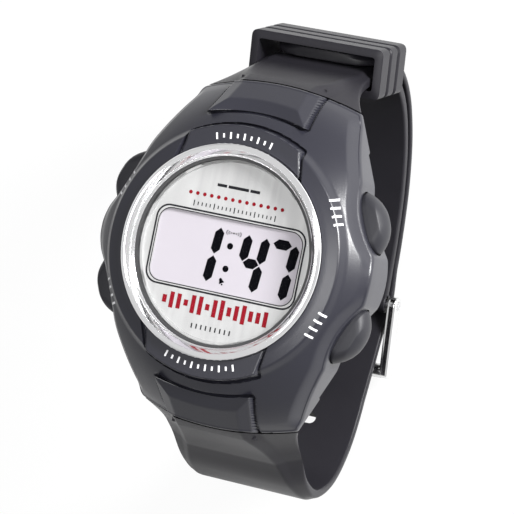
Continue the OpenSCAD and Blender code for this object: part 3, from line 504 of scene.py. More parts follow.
def tab_outline():
    n = 24
    steps = [2 * i / n - 1 for i in range(n + 1)]
    return ([(TAB_END_HALF_W, CASE_LEN / 2 + 2), (-TAB_END_HALF_W, CASE_LEN / 2 + 2)]
            + [(u * TAB_HALF_W, TAB_Y + TAB_BOW * (1 - u * u)) for u in steps])


def polygon_distance(x, y, outline):
    """Distance from a closed outline, positive inside."""
    best = np.full(x.shape, 1e9)
    inside = np.zeros(x.shape, bool)
    for i, (ax, ay) in enumerate(outline):
        bx, by = outline[i - 1]
        ex, ey = bx - ax, by - ay
        t = np.clip(((x - ax) * ex + (y - ay) * ey) / (ex * ex + ey * ey), 0, 1)
        best = np.minimum(best, np.hypot(x - ax - t * ex, y - ay - t * ey))
        crosses = (ay > y) != (by > y)
        with np.errstate(divide="ignore", invalid="ignore"):
            at_x = ax + (y - ay) * ex / np.where(ey == 0, 1e-9, ey)
        inside ^= crosses & (x < at_x)
    return np.where(inside, best, -best)


def smooth_step(value, low, high):
    u = np.clip((value - low) / (high - low), 0, 1)
    return u * u * (3 - 2 * u)


def groove_share(distance):
    """One inside the groove that runs round a panel, none on either side of it."""
    outer = smooth_step(distance, -GROOVE_W - EDGE_BLUR, -GROOVE_W + EDGE_BLUR)
    return outer * (1 - on_panel(distance))


def on_panel(distance):
    """One on a panel, none off it, with a short step between."""
    return smooth_step(distance, -STEP_OUT, STEP_IN)


def edge_share(fold_y):
    """How much of the edge's fall is used: little at the noses and at the straps."""
    rise = (1 - NOSE_SHARE) * smooth_step(fold_y, *NOSE_RUN)
    return NOSE_SHARE + rise * (1 - smooth_step(fold_y, *END_RUN))


def cut_groove(z, distance):
    depth = GROOVE_D + 0.1
    return np.where(distance > -GROOVE_W - 0.1, z - depth * groove_share(distance), z)


def dome_and_collar(r):
    """Dome with the level collar that stands round the dial ring."""
    collar_low = COLLAR_Z - COLLAR_FALL
    slope = (collar_low - dome_height(COLLAR_FOOT_R)) / COLLAR_RUN
    flat = COLLAR_Z - COLLAR_FALL * (r - RING_R - 0.5) / (COLLAR_R - RING_R - 0.5)
    fall = collar_low - slope * (r - COLLAR_R)
    dome = dome_height(np.minimum(r, DOME_R - 1))
    return soft_max(soft_min(flat, fall, FACE_BLEND), dome, FACE_BLEND)


def tab_face(fold_y, inside):
    """Sloping plane of an end tab, bevelled towards its edges."""
    mid_y = (TAB_Y + CASE_LEN / 2) / 2
    tilt = mid_y / math.sqrt(DOME_R ** 2 - mid_y ** 2)
    plane = dome_height(mid_y) + TAB_RISE - (fold_y - mid_y) * tilt
    return soft_min(plane, plane + TAB_BEVEL_SLOPE * (np.minimum(inside, 9.0) - TAB_BEVEL), 0.12)


def case_height(x, y):
    """Height of the case's top surface over the points x, y."""
    fold_y = np.abs(y)
    z = dome_and_collar(np.hypot(x, y))
    inside = soft_min(inside_distance(x, y), scallop_distance(x, y), 0.3)
    z = z - OVER_DROP * edge_share(fold_y) * (1 - smooth_step(inside, -0.35, OVER_BEVEL + 0.5))
    in_shield = polygon_distance(x, fold_y, shield_outline())
    z = cut_groove(z, in_shield)
    panel = SHIELD_Z - PANEL_ROUND_D * (1 - smooth_step(in_shield, 0.0, PANEL_ROUND_W))
    share = on_panel(in_shield)
    z = np.where(in_shield > -STEP_IN, panel * share + z * (1 - share), z)
    in_tab = polygon_distance(x, fold_y, tab_outline())
    z = cut_groove(z, in_tab)
    share = on_panel(in_tab)
    return np.where(in_tab > -STEP_OUT, tab_face(fold_y, in_tab) * share + z * (1 - share), z)


def case_piece():
    """Closed mesh of the case: fine rings over the top, then walls, underside and hollow."""
    around, across = 900, 120
    angle = np.linspace(0, 2 * np.pi, around, endpoint=False)
    reach = outline_reach(angle)
    edge = 0.3
    rings = []

    def add(r, z):
        z = np.broadcast_to(z, r.shape)
        rings.append(np.stack([r * np.cos(angle), r * np.sin(angle), z], axis=1))

    inner = RING_R + 0.06
    add(np.full(around, NECK_OUT_R + 0.05), FLANGE_TOP_Z)
    add(np.full(around, inner), FLANGE_TOP_Z)
    for k in range(across + 1):
        r = inner + (reach - edge - inner) * k / across
        add(r, case_height(r * np.cos(angle), r * np.sin(angle)))
    top = case_height((reach - edge) * np.cos(angle), (reach - edge) * np.sin(angle))
    brim = case_height(reach * np.cos(angle), reach * np.sin(angle))
    end_wall = np.abs(reach * np.sin(angle)) > RECESS_Y
    side_low = np.where(end_wall, -LUG_DROP + UNDER_BEVEL, BACK_T + 0.15)
    low = np.where(end_wall, -LUG_DROP, BACK_T)
    brim = np.maximum(brim, side_low + 0.25)
    top = np.maximum(top, brim)
    for share in (0.3, 0.6, 0.85, 1.0):
        a = share * math.pi / 2
        add(reach - edge * (1 - math.sin(a)), top - (top - brim + edge) * (1 - math.cos(a)))
    for share in (0.3, 0.7, 1.0):
        add(reach, (brim - edge) * (1 - share) + side_low * share)
    inset = np.where(end_wall, UNDER_BEVEL, 0.15)
    add(reach - inset, low)
    recess_r = RECESS_Y / np.maximum(np.abs(np.sin(angle)), 0.3)
    step_r = np.where(end_wall, np.minimum(reach - inset - 0.05, recess_r), CAVITY_R + 0.6)
    add(step_r, low)
    add(step_r - 0.02, np.full(around, BACK_T))
    add(np.full(around, CAVITY_R), np.full(around, BACK_T))
    add(np.full(around, CAVITY_R), np.full(around, CRYSTAL_Z))
    add(np.full(around, NECK_OUT_R + 0.05), np.full(around, CRYSTAL_Z))
    piece = loft("case_top_and_walls", [ring.tolist() for ring in rings], case_resin, looped=True)
    cutters = []
    for name, turn in BUTTONS.items():
        section = stadium(BUTTON_LEN / 2 + CAP_GAP, BUTTON_H / 2 + CAP_GAP)
        cutters.append(along_button("pocket_" + name, section, (POCKET_FLOOR, 30.0), turn))
    for side in (1, -1):
        half, r = KNUCKLE_HALF_W + KNUCKLE_GAP, KNUCKLE_R + KNUCKLE_GAP
        round_end = np.linspace(0.35, math.pi, 16)
        profile = [(PIN_Y + r * math.cos(a), PIN_Z + r * math.sin(a)) for a in round_end]
        profile += [(PIN_Y - r, -3.0), (CASE_LEN, -3.0), (CASE_LEN, NECK_TOP_Z + KNUCKLE_GAP)]
        rings = [[(x, side * y, z) for y, z in profile] for x in (-half, half)]
        cutters.append(loft("knuckle_space", rings, case_resin, body=None))
    cut(piece, cutters)
    smooth_by_angle(piece, 38)
    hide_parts("case_shell")


def button_ring(out, section, turn):
    """Section of [along the flank, up] points, set out from the dial's axis on a button's axis."""
    c, s = math.cos(turn), math.sin(turn)
    return [(out * c - along * s, out * s + along * c, BUTTON_Z + up) for along, up in section]


def along_button(name, section, span, turn):
    """Prism of a section of [along the flank, up] points, on a button's axis."""
    rings = []
    for out in span:
        rings.append(button_ring(out, section, turn))
    return loft(name, rings, case_resin, body=None)


case_piece()


# Dial opening

def polished_ring():
    top = RING_Z + RING_CREST
    profile = rounded([
        (NECK_IN_R, CRYSTAL_Z), (NECK_OUT_R, CRYSTAL_Z), (NECK_OUT_R, FLANGE_TOP_Z),
        (RING_R, FLANGE_TOP_Z), (RING_R, RING_Z), (RING_R - 0.45, top - 0.02), (RING_R - 0.85, top),
        (NECK_IN_R + 0.3, CRYSTAL_Z + 1.25), (NECK_IN_R, CRYSTAL_Z + 1.0)], 0.22, 5)
    piece = lathe("polished_dial_ring", profile, chromed)
    fix_normals(piece)
    smooth_by_angle(piece, 50)
    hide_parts("dial_ring_polished")


polished_ring()


# Buttons

def button_piece(name, turn):
    """Domed cap on its stem."""
    reach = BUTTON_FRONT - FLANK_DIST
    plan_r = ((BUTTON_LEN / 2) ** 2 + reach ** 2) / (2 * reach)
    stem = stadium(STEM_R + 0.001, STEM_R, 14)
    rings = [button_ring(out, stem, turn) for out in (STEM_END, BUTTON_BACK)]
    for out in [BUTTON_BACK] + list(np.linspace(FLANK_DIST - 0.6, BUTTON_FRONT - 0.03, 24)):
        along = math.sqrt(max(0.01, plan_r ** 2 - max(0, out - BUTTON_FRONT + plan_r) ** 2))
        up = math.sqrt(max(0.01, BUTTON_SIDE_R ** 2 - max(0, out - BUTTON_FRONT + BUTTON_SIDE_R) ** 2))
        half_len, half_h = min(BUTTON_LEN / 2, along), min(BUTTON_H / 2, up)
        section = stadium(max(half_len, half_h + 0.02), half_h, 14)
        rings.append(button_ring(out, section, turn))
    piece = loft("cap_" + name, rings, button_resin, body="button_" + name)
    fix_normals(piece)
    smooth_by_angle(piece, 40)
    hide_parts("button_" + name)


for button_name, button_turn in BUTTONS.items():
    button_piece(button_name, button_turn)


# Straps

def spline_at(points, k):
    """Place on the smooth curve through the points, where k counts them from the first."""
    n = len(points) - 1
    i = min(n - 1, int(math.floor(k)))
    t = k - i
    b, c = points[i], points[i + 1]
    a = points[i - 1] if i > 0 else 2 * points[0] - points[1]
    d = points[i + 2] if i < n - 1 else 2 * points[n] - points[n - 1]
    square = (2 * a - 5 * b + 4 * c - d) * t * t
    cube = (3 * b - 3 * c + d - a) * t ** 3
    return 0.5 * (2 * b + (c - a) * t + square + cube)


SHORT_POINTS = [np.array(p) for p in (
    (22.6, 0.3), (26.2, -5.8), (28.8, -12.0), (LOOP_Y12, -LOOP_FOLD_Z), (27.3, -24.6),
    (21.6, -29.2), (14.4, -32.2), (7.0, -LOOP_DEPTH + 1.0), (1.4, -LOOP_DEPTH + 0.4),
    (HINGE_Y, -LOOP_DEPTH))]
LAST_K = len(SHORT_POINTS) - 1
TAIL_TIP_K = 1.95
TAIL_COUNT = 14


def off_short(k, h):
    """Place off the short strap's line, h outwards from its wrist side."""
    step = 0.01
    t = spline_at(SHORT_POINTS, k + step) - spline_at(SHORT_POINTS, k - step)
    t = t / np.linalg.norm(t)
    return spline_at(SHORT_POINTS, k) + h * np.array([-t[1], t[0]])


BAR_Y = HINGE_Y - BUCKLE_LEN * math.cos(BUCKLE_TILT)
BAR_Z = HINGE_Z - BUCKLE_LEN * math.sin(BUCKLE_TILT)
TAIL_H = SHORT_T + LAYER_GAP
LONG_POINTS = [np.array(p) for p in (
    (-22.6, 0.3), (-25.4, -4.6), (-28.4, -8.9), (-31.2, -13.4), (-LOOP_Y6, -LOOP_FOLD_Z - 0.8),
    (-31.0, -25.6), (-26.6, -30.2), (-21.0, -33.0), (BAR_Y - 0.6, BAR_Z + BAR_R + 0.35 + LONG_T),
    (HINGE_Y - 5, -LOOP_DEPTH - 1.25), (HINGE_Y, HINGE_Z - BARREL_R - 0.2))]
TAIL_STEP_K = (LAST_K - 1 - TAIL_TIP_K) / (TAIL_COUNT - 1)
LONG_POINTS += [off_short(LAST_K - 1 - i * TAIL_STEP_K, TAIL_H) for i in range(TAIL_COUNT)]


def strap_line(points, per_stretch):
    """Samples [y, z, tangent y, tangent z, length] along the smooth line."""
    raw = [spline_at(points, k / per_stretch) for k in range(per_stretch * (len(points) - 1) + 1)]
    line, s = [], 0.0
    for i, p in enumerate(raw):
        before, after = raw[max(0, i - 1)], raw[min(len(raw) - 1, i + 1)]
        s += float(np.linalg.norm(p - before))
        t = (after - before) / np.linalg.norm(after - before)
        line.append((p[0], p[1], t[0], t[1], s))
    return line


def mix(a, b, u):
    return a + (b - a) * min(1.0, max(0.0, u))


def strap_section(w, t, near):
    """Strap section: flat wrist side, raised band with a facet at each side near the case."""
    edge = t - mix(EDGE_DROP, ROOT_EDGE_DROP, near)
    facet = t - mix(FACET_DROP, ROOT_FACET_DROP, near)
    inner = mix(w - 1.5, BAND_HALF_W, near)
    outer = mix(w - 0.8, FACET_HALF_W, near)
    right = [(w, 0), (w, edge), (outer, facet), (inner, t)]
    left = [(-x, h) for x, h in reversed(right)]
    return rounded(left[-1:] + right + left[:-1], SECTION_ROUND, 4)


def strap_piece(name, points, side, half_width, thickness, near_len):
    """Strap lofted along its line and cut clear of the case's end."""
    line = strap_line(points, 16)
    length = line[-1][4]
    y, z, ty, tz, _ = line[0]
    inside_case = (y - ty * ROOT_RUN, z - tz * ROOT_RUN, ty, tz, 0.0)
    rings = []
    for y, z, ty, tz, s in [inside_case] + line:
        normal = side * np.array([-tz, ty])
        section = strap_section(half_width(s, length), thickness(s, length), 1 - min(1, s / near_len))
        rings.append([(x, y + normal[0] * h, z + normal[1] * h) for x, h in section])
    piece = loft(name, rings, strap_resin)
    clear = []
    for z in (-LUG_DROP - ROOT_GAP, CASE_LEN):
        clear.append([(x, side * END_Y + y, z) for x, y in disc(0, 0, END_R + ROOT_GAP, 720)])
    cut(piece, [loft("case_end_room", clear, strap_resin, body=None)])
    return piece, line


def short_half_width(s, length):
    return mix(STRAP_ROOT_HALF_W, STRAP_HALF_W, math.sin(math.pi / 2 * min(1, s / SHORT_TAPER)))


def short_thickness(s, length):
    return mix(ROOT_T, SHORT_T, s / SHORT_TAPER)


def long_half_width(s, length):
    if s < LONG_WAIST_S:
        body = mix(STRAP_ROOT_HALF_W, LONG_WAIST_W, math.sin(math.pi / 2 * s / LONG_WAIST_S))
    else:
        body = mix(LONG_WAIST_W, STRAP_HALF_W, (s - LONG_WAIST_S) / (LONG_TAPER - LONG_WAIST_S))
    into_tip = max(0.0, (s - length + TIP_LEN) / TIP_LEN)
    return body * (0.5 + 0.5 * math.sqrt(max(0.0, 1 - into_tip ** 2)))


def long_thickness(s, length):
    return mix(mix(ROOT_T, LONG_T, s / SHORT_TAPER), TIP_T, (s - LONG_TAPER) / (length - LONG_TAPER))


def at_length(line, s):
    for a, b in zip(line, line[1:]):
        if b[4] >= s:
            u = (s - a[4]) / (b[4] - a[4])
            return [p + (q - p) * u for p, q in zip(a, b)]
    return line[-1]


def on_line(line, s, along, up, side):
    """[y, z] of a point beside the strap's line at length s."""
    y, z, ty, tz, _ = at_length(line, s)
    return y + ty * along - side * tz * up, z + tz * along + side * ty * up


short_piece, short_line = strap_piece(
    "short_strap_moulding", SHORT_POINTS, 1, short_half_width, short_thickness, SHORT_TAPER)
long_piece, long_line = strap_piece(
    "long_strap_moulding", LONG_POINTS, -1, long_half_width, long_thickness, 2 * SHORT_TAPER)
HOLE_S = next(s for y, z, ty, tz, s in long_line if z < -LOOP_DEPTH + 4 and y > HINGE_Y - HOLE_BACK)


def cut_holes():
    """Slots across the strap, and one along it where the tongue passes through."""
    cutters = []
    for i in range(HOLE_COUNT):
        s = HOLE_S + (i - HOLES_BELOW) * HOLE_PITCH
        rings = []
        for up in (-4.0, 4.0):
            if i == HOLES_BELOW:
                section = stadium(HOLE_LEN / 2, HOLE_W / 2)
            else:
                section = [(along, x) for x, along in stadium(SLOT_W / 2, SLOT_LEN / 2)]
            rings.append([(x, *on_line(long_line, s, along, up, -1)) for along, x in section])
        cutters.append(loft("hole", rings, strap_resin, body=None))
    cut(long_piece, cutters)


cut_holes()


def hinge_notch():
    """Room for the tongue's eye in the middle of the short strap's end."""
    half = TONGUE_W / 2 + TONGUE_ROOM
    back, front, low, high = HINGE_Y - 4, HINGE_Y + 1.5, HINGE_Z - 4, HINGE_Z + 4
    corners = [(back, low), (front, low), (front, high), (back, high)]
    rings = [[(x, y, z) for y, z in corners] for x in (-half, half)]
    cut(short_piece, [loft("notch", rings, strap_resin, body=None)])


hinge_notch()
for strap, node in ((short_piece, "short_strap"), (long_piece, "long_strap")):
    smooth_by_angle(strap, 40)
    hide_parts(node)


def bar_between(name, x0, x1, y, z, r, material, steps=40):
    """Round bar along X with small chamfers."""
    rings = []
    low_r = r - BAR_CHAMFER
    for x, ring_r in ((x0, low_r), (x0 + BAR_CHAMFER, r), (x1 - BAR_CHAMFER, r), (x1, low_r)):
        rings.append(ring_about_x(x, y, z, ring_r, steps))
    piece = loft(name, rings, material)
    fix_normals(piece)
    smooth_by_angle(piece, 35)
    return piece


def hinge_barrel(label, side):
    x0, x1 = sorted((side * (TONGUE_W / 2 + TONGUE_ROOM), side * STRAP_HALF_W))
    barrel = bar_between("hinge_barrel_" + label, x0, x1, HINGE_Y, HINGE_Z, BARREL_R, strap_resin)


def strap_knuckle(label, side):
    """Knuckle round the strap pin and the neck that joins it to the strap."""
    knuckle = bar_between("strap_knuckle_" + label, -KNUCKLE_HALF_W, KNUCKLE_HALF_W,
                          side * PIN_Y, PIN_Z, KNUCKLE_R, strap_resin)
    neck_y = CASE_LEN / 2 + 0.6
    profile = [(PIN_Y, NECK_LOW_Z), (neck_y, NECK_LOW_Z), (neck_y, NECK_TOP_Z), (PIN_Y, NECK_TOP_Z)]
    rings = [[(x, side * y, z) for y, z in profile] for x in (-NECK_HALF_W, NECK_HALF_W)]
    neck = loft("strap_neck_" + label, rings, strap_resin)
    fix_normals(neck)
    smooth_by_angle(neck, 30)


ENDS = {"12": 1, "6": -1}
for label, side in (("left", -1), ("right", 1)):
    hinge_barrel(label, side)
for label, side in ENDS.items():
    strap_knuckle(label, side)
for label, side in ENDS.items():
    bar_between("strap_pin_" + label, -PIN_HALF_LEN, PIN_HALF_LEN,
                            side * PIN_Y, PIN_Z, PIN_R, dark_steel)
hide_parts("strap_pins")


# Keeper

def keeper_piece():
    """Band of three ribs that loops round both layers of the strap."""
    samples = strap_line(SHORT_POINTS, 5)
    start, stop = at_length(samples, KEEPER_START), at_length(samples, KEEPER_START + KEEPER_LEN)
    mid_y, mid_z = (start[0] + stop[0]) / 2, (start[1] + stop[1]) / 2
    run = math.hypot(stop[0] - start[0], stop[1] - start[1])
    ty, tz = (stop[0] - start[0]) / run, (stop[1] - start[1]) / run
    half_w = STRAP_HALF_W + KEEPER_GAP

    def ring(along, offset, wall):
        w = half_w + wall + offset
        low = -KEEPER_GAP - wall - offset
        high = KEEPER_ROOM - KEEPER_GAP + wall + offset
        corner = 1.1 if wall else 0.5
        section = rounded([(-w, low), (w, low), (w, high), (-w, high)], corner, 8)
        return [(x, mid_y + ty * along - tz * h, mid_z + tz * along + ty * h) for x, h in section]

    half = KEEPER_LEN / 2
    rings = [ring(-half, 0.0, 0), ring(-half, -0.2, KEEPER_WALL)]
    steps = 66
    for k in range(steps + 1):
        along = -half + RIB_EDGE + (KEEPER_LEN - 2 * RIB_EDGE) * k / steps
        from_groove = min(abs(along - KEEPER_LEN / 6), abs(along + KEEPER_LEN / 6))
        dip = RIB_H * (1 - smooth_step(np.array(from_groove), 0.15, 0.55))
        rings.append(ring(along, -float(dip), KEEPER_WALL))
    rings += [ring(half, -0.2, KEEPER_WALL), ring(half, 0.0, 0)]
    piece = loft("ribbed_keeper", rings, strap_resin, body="keeper", looped=True)
    fix_normals(piece)
    smooth_by_angle(piece, 50)
    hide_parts("keeper")


keeper_piece()


# Buckle frame: two slim, softly rounded arms joined by the far bar

ARM_IN_X = STRAP_HALF_W + 0.4
ARM_OUT_X = ARM_IN_X + 1.5
ARM_TOP_H = 1.3
ARM_LOW_H = 1.05
ARM_ROUND = 0.5
BAR_LAP = 0.3
HINGE_BORE_R = 0.68


def buckle_at(x, along, up):
    """Place in the leaning frame, along its length from the hinge and up towards the wrist."""
    c, s = math.cos(BUCKLE_TILT), math.sin(BUCKLE_TILT)
    return x, HINGE_Y - along * c - up * s, HINGE_Z - along * s + up * c


def arm_half_height(along):
    body = mix(ARM_TOP_H, ARM_LOW_H, along / BUCKLE_LEN)
    over = max(0.0, -along, along - BUCKLE_LEN)
    return math.sqrt(max(0.02, body ** 2 - over ** 2))


def buckle_arm(side):
    low, high = -ARM_TOP_H + 0.02, BUCKLE_LEN + ARM_LOW_H - 0.02
    steps = 56
    rings = []
    for k in range(steps + 1):
        along = mix(low, high, (1 - math.cos(math.pi * k / steps)) / 2)
        h = arm_half_height(along)
        corners = [(ARM_IN_X, -h), (ARM_OUT_X, -h), (ARM_OUT_X, h), (ARM_IN_X, h)]
        rings.append([buckle_at(side * x, along, up) for x, up in rounded(corners, ARM_ROUND, 6)])
    return loft("buckle_arm", rings, polished, body="buckle")


def far_bar():
    angles = np.linspace(0, 2 * math.pi, 48, endpoint=False)
    section = [(BUCKLE_LEN + BAR_R * math.cos(a), BAR_R * math.sin(a)) for a in angles]
    reach = ARM_IN_X + BAR_LAP
    rings = [[buckle_at(x, along, up) for along, up in section] for x in (-reach, reach)]
    return loft("buckle_bar", rings, polished, body="buckle")


def buckle_piece():
    """Both arms and the bar joined into one, with the hinge's bore through the arms."""
    main, *others = [buckle_arm(-1), buckle_arm(1), far_bar()]
    for part in [main] + others:
        fix_normals(part)
    bpy.context.view_layer.objects.active = main
    for part in others:
        step = main.modifiers.new("join", "BOOLEAN")
        step.operation = "UNION"
        step.solver = "EXACT"
        step.object = part
        bpy.ops.object.modifier_apply(modifier=step.name)
        bpy.data.objects.remove(part, do_unlink=True)
    reach = 2 * ARM_OUT_X
    bore = [ring_about_x(x, HINGE_Y, HINGE_Z, HINGE_BORE_R, 36) for x in (-reach, reach)]
    cut(main, [loft("hinge_bore", bore, polished, body=None)])
    main.name = "slim_buckle_frame"
    smooth_by_angle(main, 40)
    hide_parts("buckle_frame")


buckle_piece()


# Finishes of the plain solids of the part

NODE_FINISH = {
    "crystal": clear_crystal,
    "crystal_gasket": black_rubber,
    "dial_surround": silver_dial,
    "dial_plate": silver_dial,
    "display_panel": display_film,
    "connector_strips": contact_rubber,
    "movement_frame": ivory_plastic,
    "circuit_board": board_green,
    "chip_cover": black_epoxy,
    "contact_leaves": spring_brass,
    "coin_cell": plain_steel,
    "cell_clip": plain_steel,
    "sounder_disc": spring_brass,
    "case_back": brushed_back,
    "case_back_gasket": black_rubber,
    "case_back_screws": plain_steel,
    "button_seals": black_rubber,
    "buckle_hinge_bar": plain_steel,
    "buckle_tongue": polished,
}
for part in BUTTONS:
    NODE_FINISH["button_" + part] = case_resin
    NODE_FINISH["clip_" + part] = plain_steel
for node_name, material in NODE_FINISH.items():
    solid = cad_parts[node_name]
    solid.data.materials.clear()
    solid.data.materials.append(material)

TONGUE_ROUND = 0.3


def soften_tongue():
    """Rounds the edges of the tongue without changing its size."""
    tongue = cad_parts["buckle_tongue"]
    soften = tongue.modifiers.new("soft_edges", "BEVEL")
    soften.width = TONGUE_ROUND * MM
    soften.segments = 4
    soften.limit_method = "ANGLE"
    soften.angle_limit = math.radians(40)
    for face in tongue.data.polygons:
        face.use_smooth = True


soften_tongue()


# Printing on the dial, display and case

PRINT_LIFT = 0.02
WINDOW_LINES = {"outer": (23.75, 11.65, 0.26), "inner": (22.9, 10.8, 0.14)}
WINDOW_CORNER = 2.0
DOT_COUNT, DOT_SPAN, DOT_Y, DOT_R = 14, 14.5, 7.55, 0.28
LEVEL_COUNT, LEVEL_SPAN, LEVEL_Y, LEVEL_W = 15, 16.0, -8.2, 0.66
SCALE_COUNT, SCALE_SPAN, SCALE_Y, SCALE_W = 21, 12.8, 6.1, 0.16
LOWER_COUNT, LOWER_SPAN, LOWER_Y, LOWER_W = 9, 6.0, -11.2, 0.2
TOP_BARS = ((-2.6, 1.5), (0, 3.2), (2.6, 1.5))
TOP_BAR_Y = 9.3
TOP_BAR_H = 0.42


def flat_print(name, outline, z, material):
    points = [(x, y, z + PRINT_LIFT) for x, y in outline]
    return mesh_piece(name, points, [tuple(range(len(points)))], material, smooth=False)


def rounded_box(w, h, r, cx=0.0, cy=0.0, steps=8):
    out = []
    for k, (sx, sy) in enumerate(((1, 1), (-1, 1), (-1, -1), (1, -1))):
        for i in range(steps + 1):
            a = math.pi / 2 * (k + i / steps)
            out.append((cx + sx * (w / 2 - r) + r * math.cos(a), cy + sy * (h / 2 - r) + r * math.sin(a)))
    return out


def print_band(name, outer, inner, z, material):
    n = len(outer)
    points = [(x, y, z + PRINT_LIFT) for x, y in outer + inner]
    faces = [(i, (i + 1) % n, n + (i + 1) % n, n + i) for i in range(n)]
    return mesh_piece(name, points, faces, material, smooth=False)


def bar_outline(cx, cy, w, h):
    corners = ((-1, -1), (1, -1), (1, 1), (-1, 1))
    return [(cx + sx * w / 2, cy + sy * h / 2) for sx, sy in corners]


def spread(i, count, span):
    """Place of the i-th of several marks spread evenly about the middle."""
    return -span / 2 + span * i / (count - 1)


def window_lines():
    for label, (w, h, line_w) in WINDOW_LINES.items():
        outer = rounded_box(w, h, WINDOW_CORNER, 0, DISPLAY_Y)
        inner = rounded_box(w - 2 * line_w, h - 2 * line_w, WINDOW_CORNER - line_w, 0, DISPLAY_Y)
        print_band("display_line_" + label, outer, inner, DIAL_Z, black_print)


def dial_print():
    """Dots, sound levels, scales and bars in the places of the dial's printing."""
    for i in range(DOT_COUNT):
        dot = disc(spread(i, DOT_COUNT, DOT_SPAN), DOT_Y, DOT_R)
        flat_print("red_dot_%02d" % i, dot, DIAL_Z, red_print)
    for i in range(LEVEL_COUNT):
        u = spread(i, LEVEL_COUNT, 2)
        height = 0.7 + 2.3 * abs(math.sin(2.2 * math.pi * u + 0.9)) * (1 - 0.35 * u * u)
        level = bar_outline(LEVEL_SPAN / 2 * u, LEVEL_Y, LEVEL_W, height)
        flat_print("sound_level_%02d" % i, level, DIAL_Z, red_print)
    for i in range(SCALE_COUNT):
        tick_h = 0.85 if i % 5 == 0 else 0.5
        tick = bar_outline(spread(i, SCALE_COUNT, SCALE_SPAN), SCALE_Y, SCALE_W, tick_h)
        flat_print("scale_tick_%02d" % i, tick, DIAL_Z, black_print)
    for i in range(LOWER_COUNT):
        tick = bar_outline(spread(i, LOWER_COUNT, LOWER_SPAN), LOWER_Y, LOWER_W, 0.7)
        flat_print("lower_tick_%d" % i, tick, DIAL_Z, black_print)
    for i, (x, w) in enumerate(TOP_BARS):
        flat_print("top_bar_%d" % i, bar_outline(x, TOP_BAR_Y, w, TOP_BAR_H), DIAL_Z, black_print)


window_lines()
dial_print()


# Display digits, each a set of bevelled bars

SEG_W = 1.4
DIGIT_W = 4.15
DIGIT_H = 8.8
SEG_GAP = 0.13
DIGIT_LEAN = 0.09


def segment(name, x0, y0, x1, y1):
    """Bar between two points whose ends taper to points."""
    d = np.array([x1 - x0, y1 - y0])
    d = d / np.linalg.norm(d)
    h = SEG_W / 2
    n = h * np.array([-d[1], d[0]])
    tip_a, tip_b = np.array([x0, y0]) + d * SEG_GAP, np.array([x1, y1]) - d * SEG_GAP
    root_a, root_b = tip_a + d * h, tip_b - d * h
    points = [tip_a, root_a + n, root_b + n, tip_b, root_b - n, root_a - n]
    leaning = [(x + DIGIT_LEAN * (y - DISPLAY_Y), y) for x, y in points]
    flat_print(name, leaning, LCD_TOP_Z, digit_black)


def digit(name, right, mid_y, parts):
    """Seven-segment digit whose right-hand bars are centred on x = right."""
    left = right - DIGIT_W + SEG_W
    top = mid_y + DIGIT_H / 2 - SEG_W / 2
    low = mid_y - DIGIT_H / 2 + SEG_W / 2
    places = {
        "upper_right": (right, top + 0.4, right, mid_y),
        "lower_right": (right, mid_y, right, low - 0.4),
        "upper_left": (left, top + 0.4, left, mid_y),
        "middle": (left, mid_y, right, mid_y),
        "top": (left - 0.9, top + 0.1, right - 0.5, top + 0.1),
    }
    for part_name in parts:
        segment("digit_%s_%s" % (name, part_name), *places[part_name])


digit("hour", -1.95, -0.62, ("upper_right", "lower_right"))
digit("ten", 5.35, -0.85, ("upper_left", "upper_right", "middle", "lower_right"))
digit("unit", 10.0, -1.1, ("top", "upper_right", "lower_right"))
for label, y in (("upper", 1.0), ("lower", -2.3)):
    flat_print("colon_" + label, disc(0.3, y, 0.47), LCD_TOP_Z, digit_black)


def wave(name, cx, cy, r, side):
    """Short flattened arc beside the wave's centre."""
    angles = np.linspace(-0.6, 0.6, 9)
    outer = [(cx + side * r * math.cos(a), cy + r * math.sin(a) * WAVE_FLAT) for a in angles]
    r = r - WAVE_LINE
    inner = [(cx + side * r * math.cos(a), cy + r * math.sin(a) * WAVE_FLAT) for a in reversed(angles)]
    flat_print(name, outer + inner, LCD_TOP_Z, digit_black)


WAVE_X, WAVE_Y = 0.5, 2.9
WAVE_FLAT = 0.55
WAVE_LINE = 0.12
BELL_X, BELL_Y = 0.0, -4.15
BELL_TURN = 0.5
BELL = ((-0.45, -0.3), (0.45, -0.3), (0.28, 0.0), (0.22, 0.35), (0, 0.5), (-0.22, 0.35), (-0.28, 0.0))


def sound_mark():
    """Small sound-wave mark over the colon, and a bell under it."""
    flat_print("wave_dot", disc(WAVE_X, WAVE_Y, 0.13), LCD_TOP_Z, digit_black)
    for i, r in enumerate((0.5, 0.85, 1.2)):
        for label, side in (("right", 1), ("left", -1)):
            wave("wave_%d_%s" % (i, label), WAVE_X, WAVE_Y, r, side)
    c, s = math.cos(BELL_TURN), math.sin(BELL_TURN)
    bell = [(BELL_X + x * c - y * s, BELL_Y + x * s + y * c) for x, y in BELL]
    flat_print("bell", bell, LCD_TOP_Z, digit_black)
    flat_print("bell_clapper", disc(0.2, -4.6, 0.13), LCD_TOP_Z, digit_black)


sound_mark()


def case_print(name, cx, cy, w, h, turn):
    """Small white bar that follows the case's top surface."""
    n = 6
    c, s = math.cos(turn), math.sin(turn)
    points, faces = [], []
    for i in range(n + 1):
        for j in range(n + 1):
            along, across = w * (i / n - 0.5), h * (j / n - 0.5)
            points.append((cx + along * c - across * s, cy + along * s + across * c))
    x, y = np.array(points).T
    z = case_height(x, y) + 2 * PRINT_LIFT
    for i in range(n):
        for j in range(n):
            a = i * (n + 1) + j
            faces.append((a, a + 1, a + n + 2, a + n + 1))
    mesh_piece(name, list(zip(x.tolist(), y.tolist(), z.tolist())), faces, white_print, smooth=False)


TICK_R = 16.65
TICK_STEP = math.radians(3.7)
TICK_LENS = (0.95, 0.6)
TICK_W = 0.28
MARK_STEP = 1.2
MARK_LEN = 1.05
MARK_W = 0.32
MARKS = {"talk": (15.7, 8.7), "minute": (16.1, -7.4), "hour": (-16.7, -8.9), "mode": (-17.6, 7.1)}


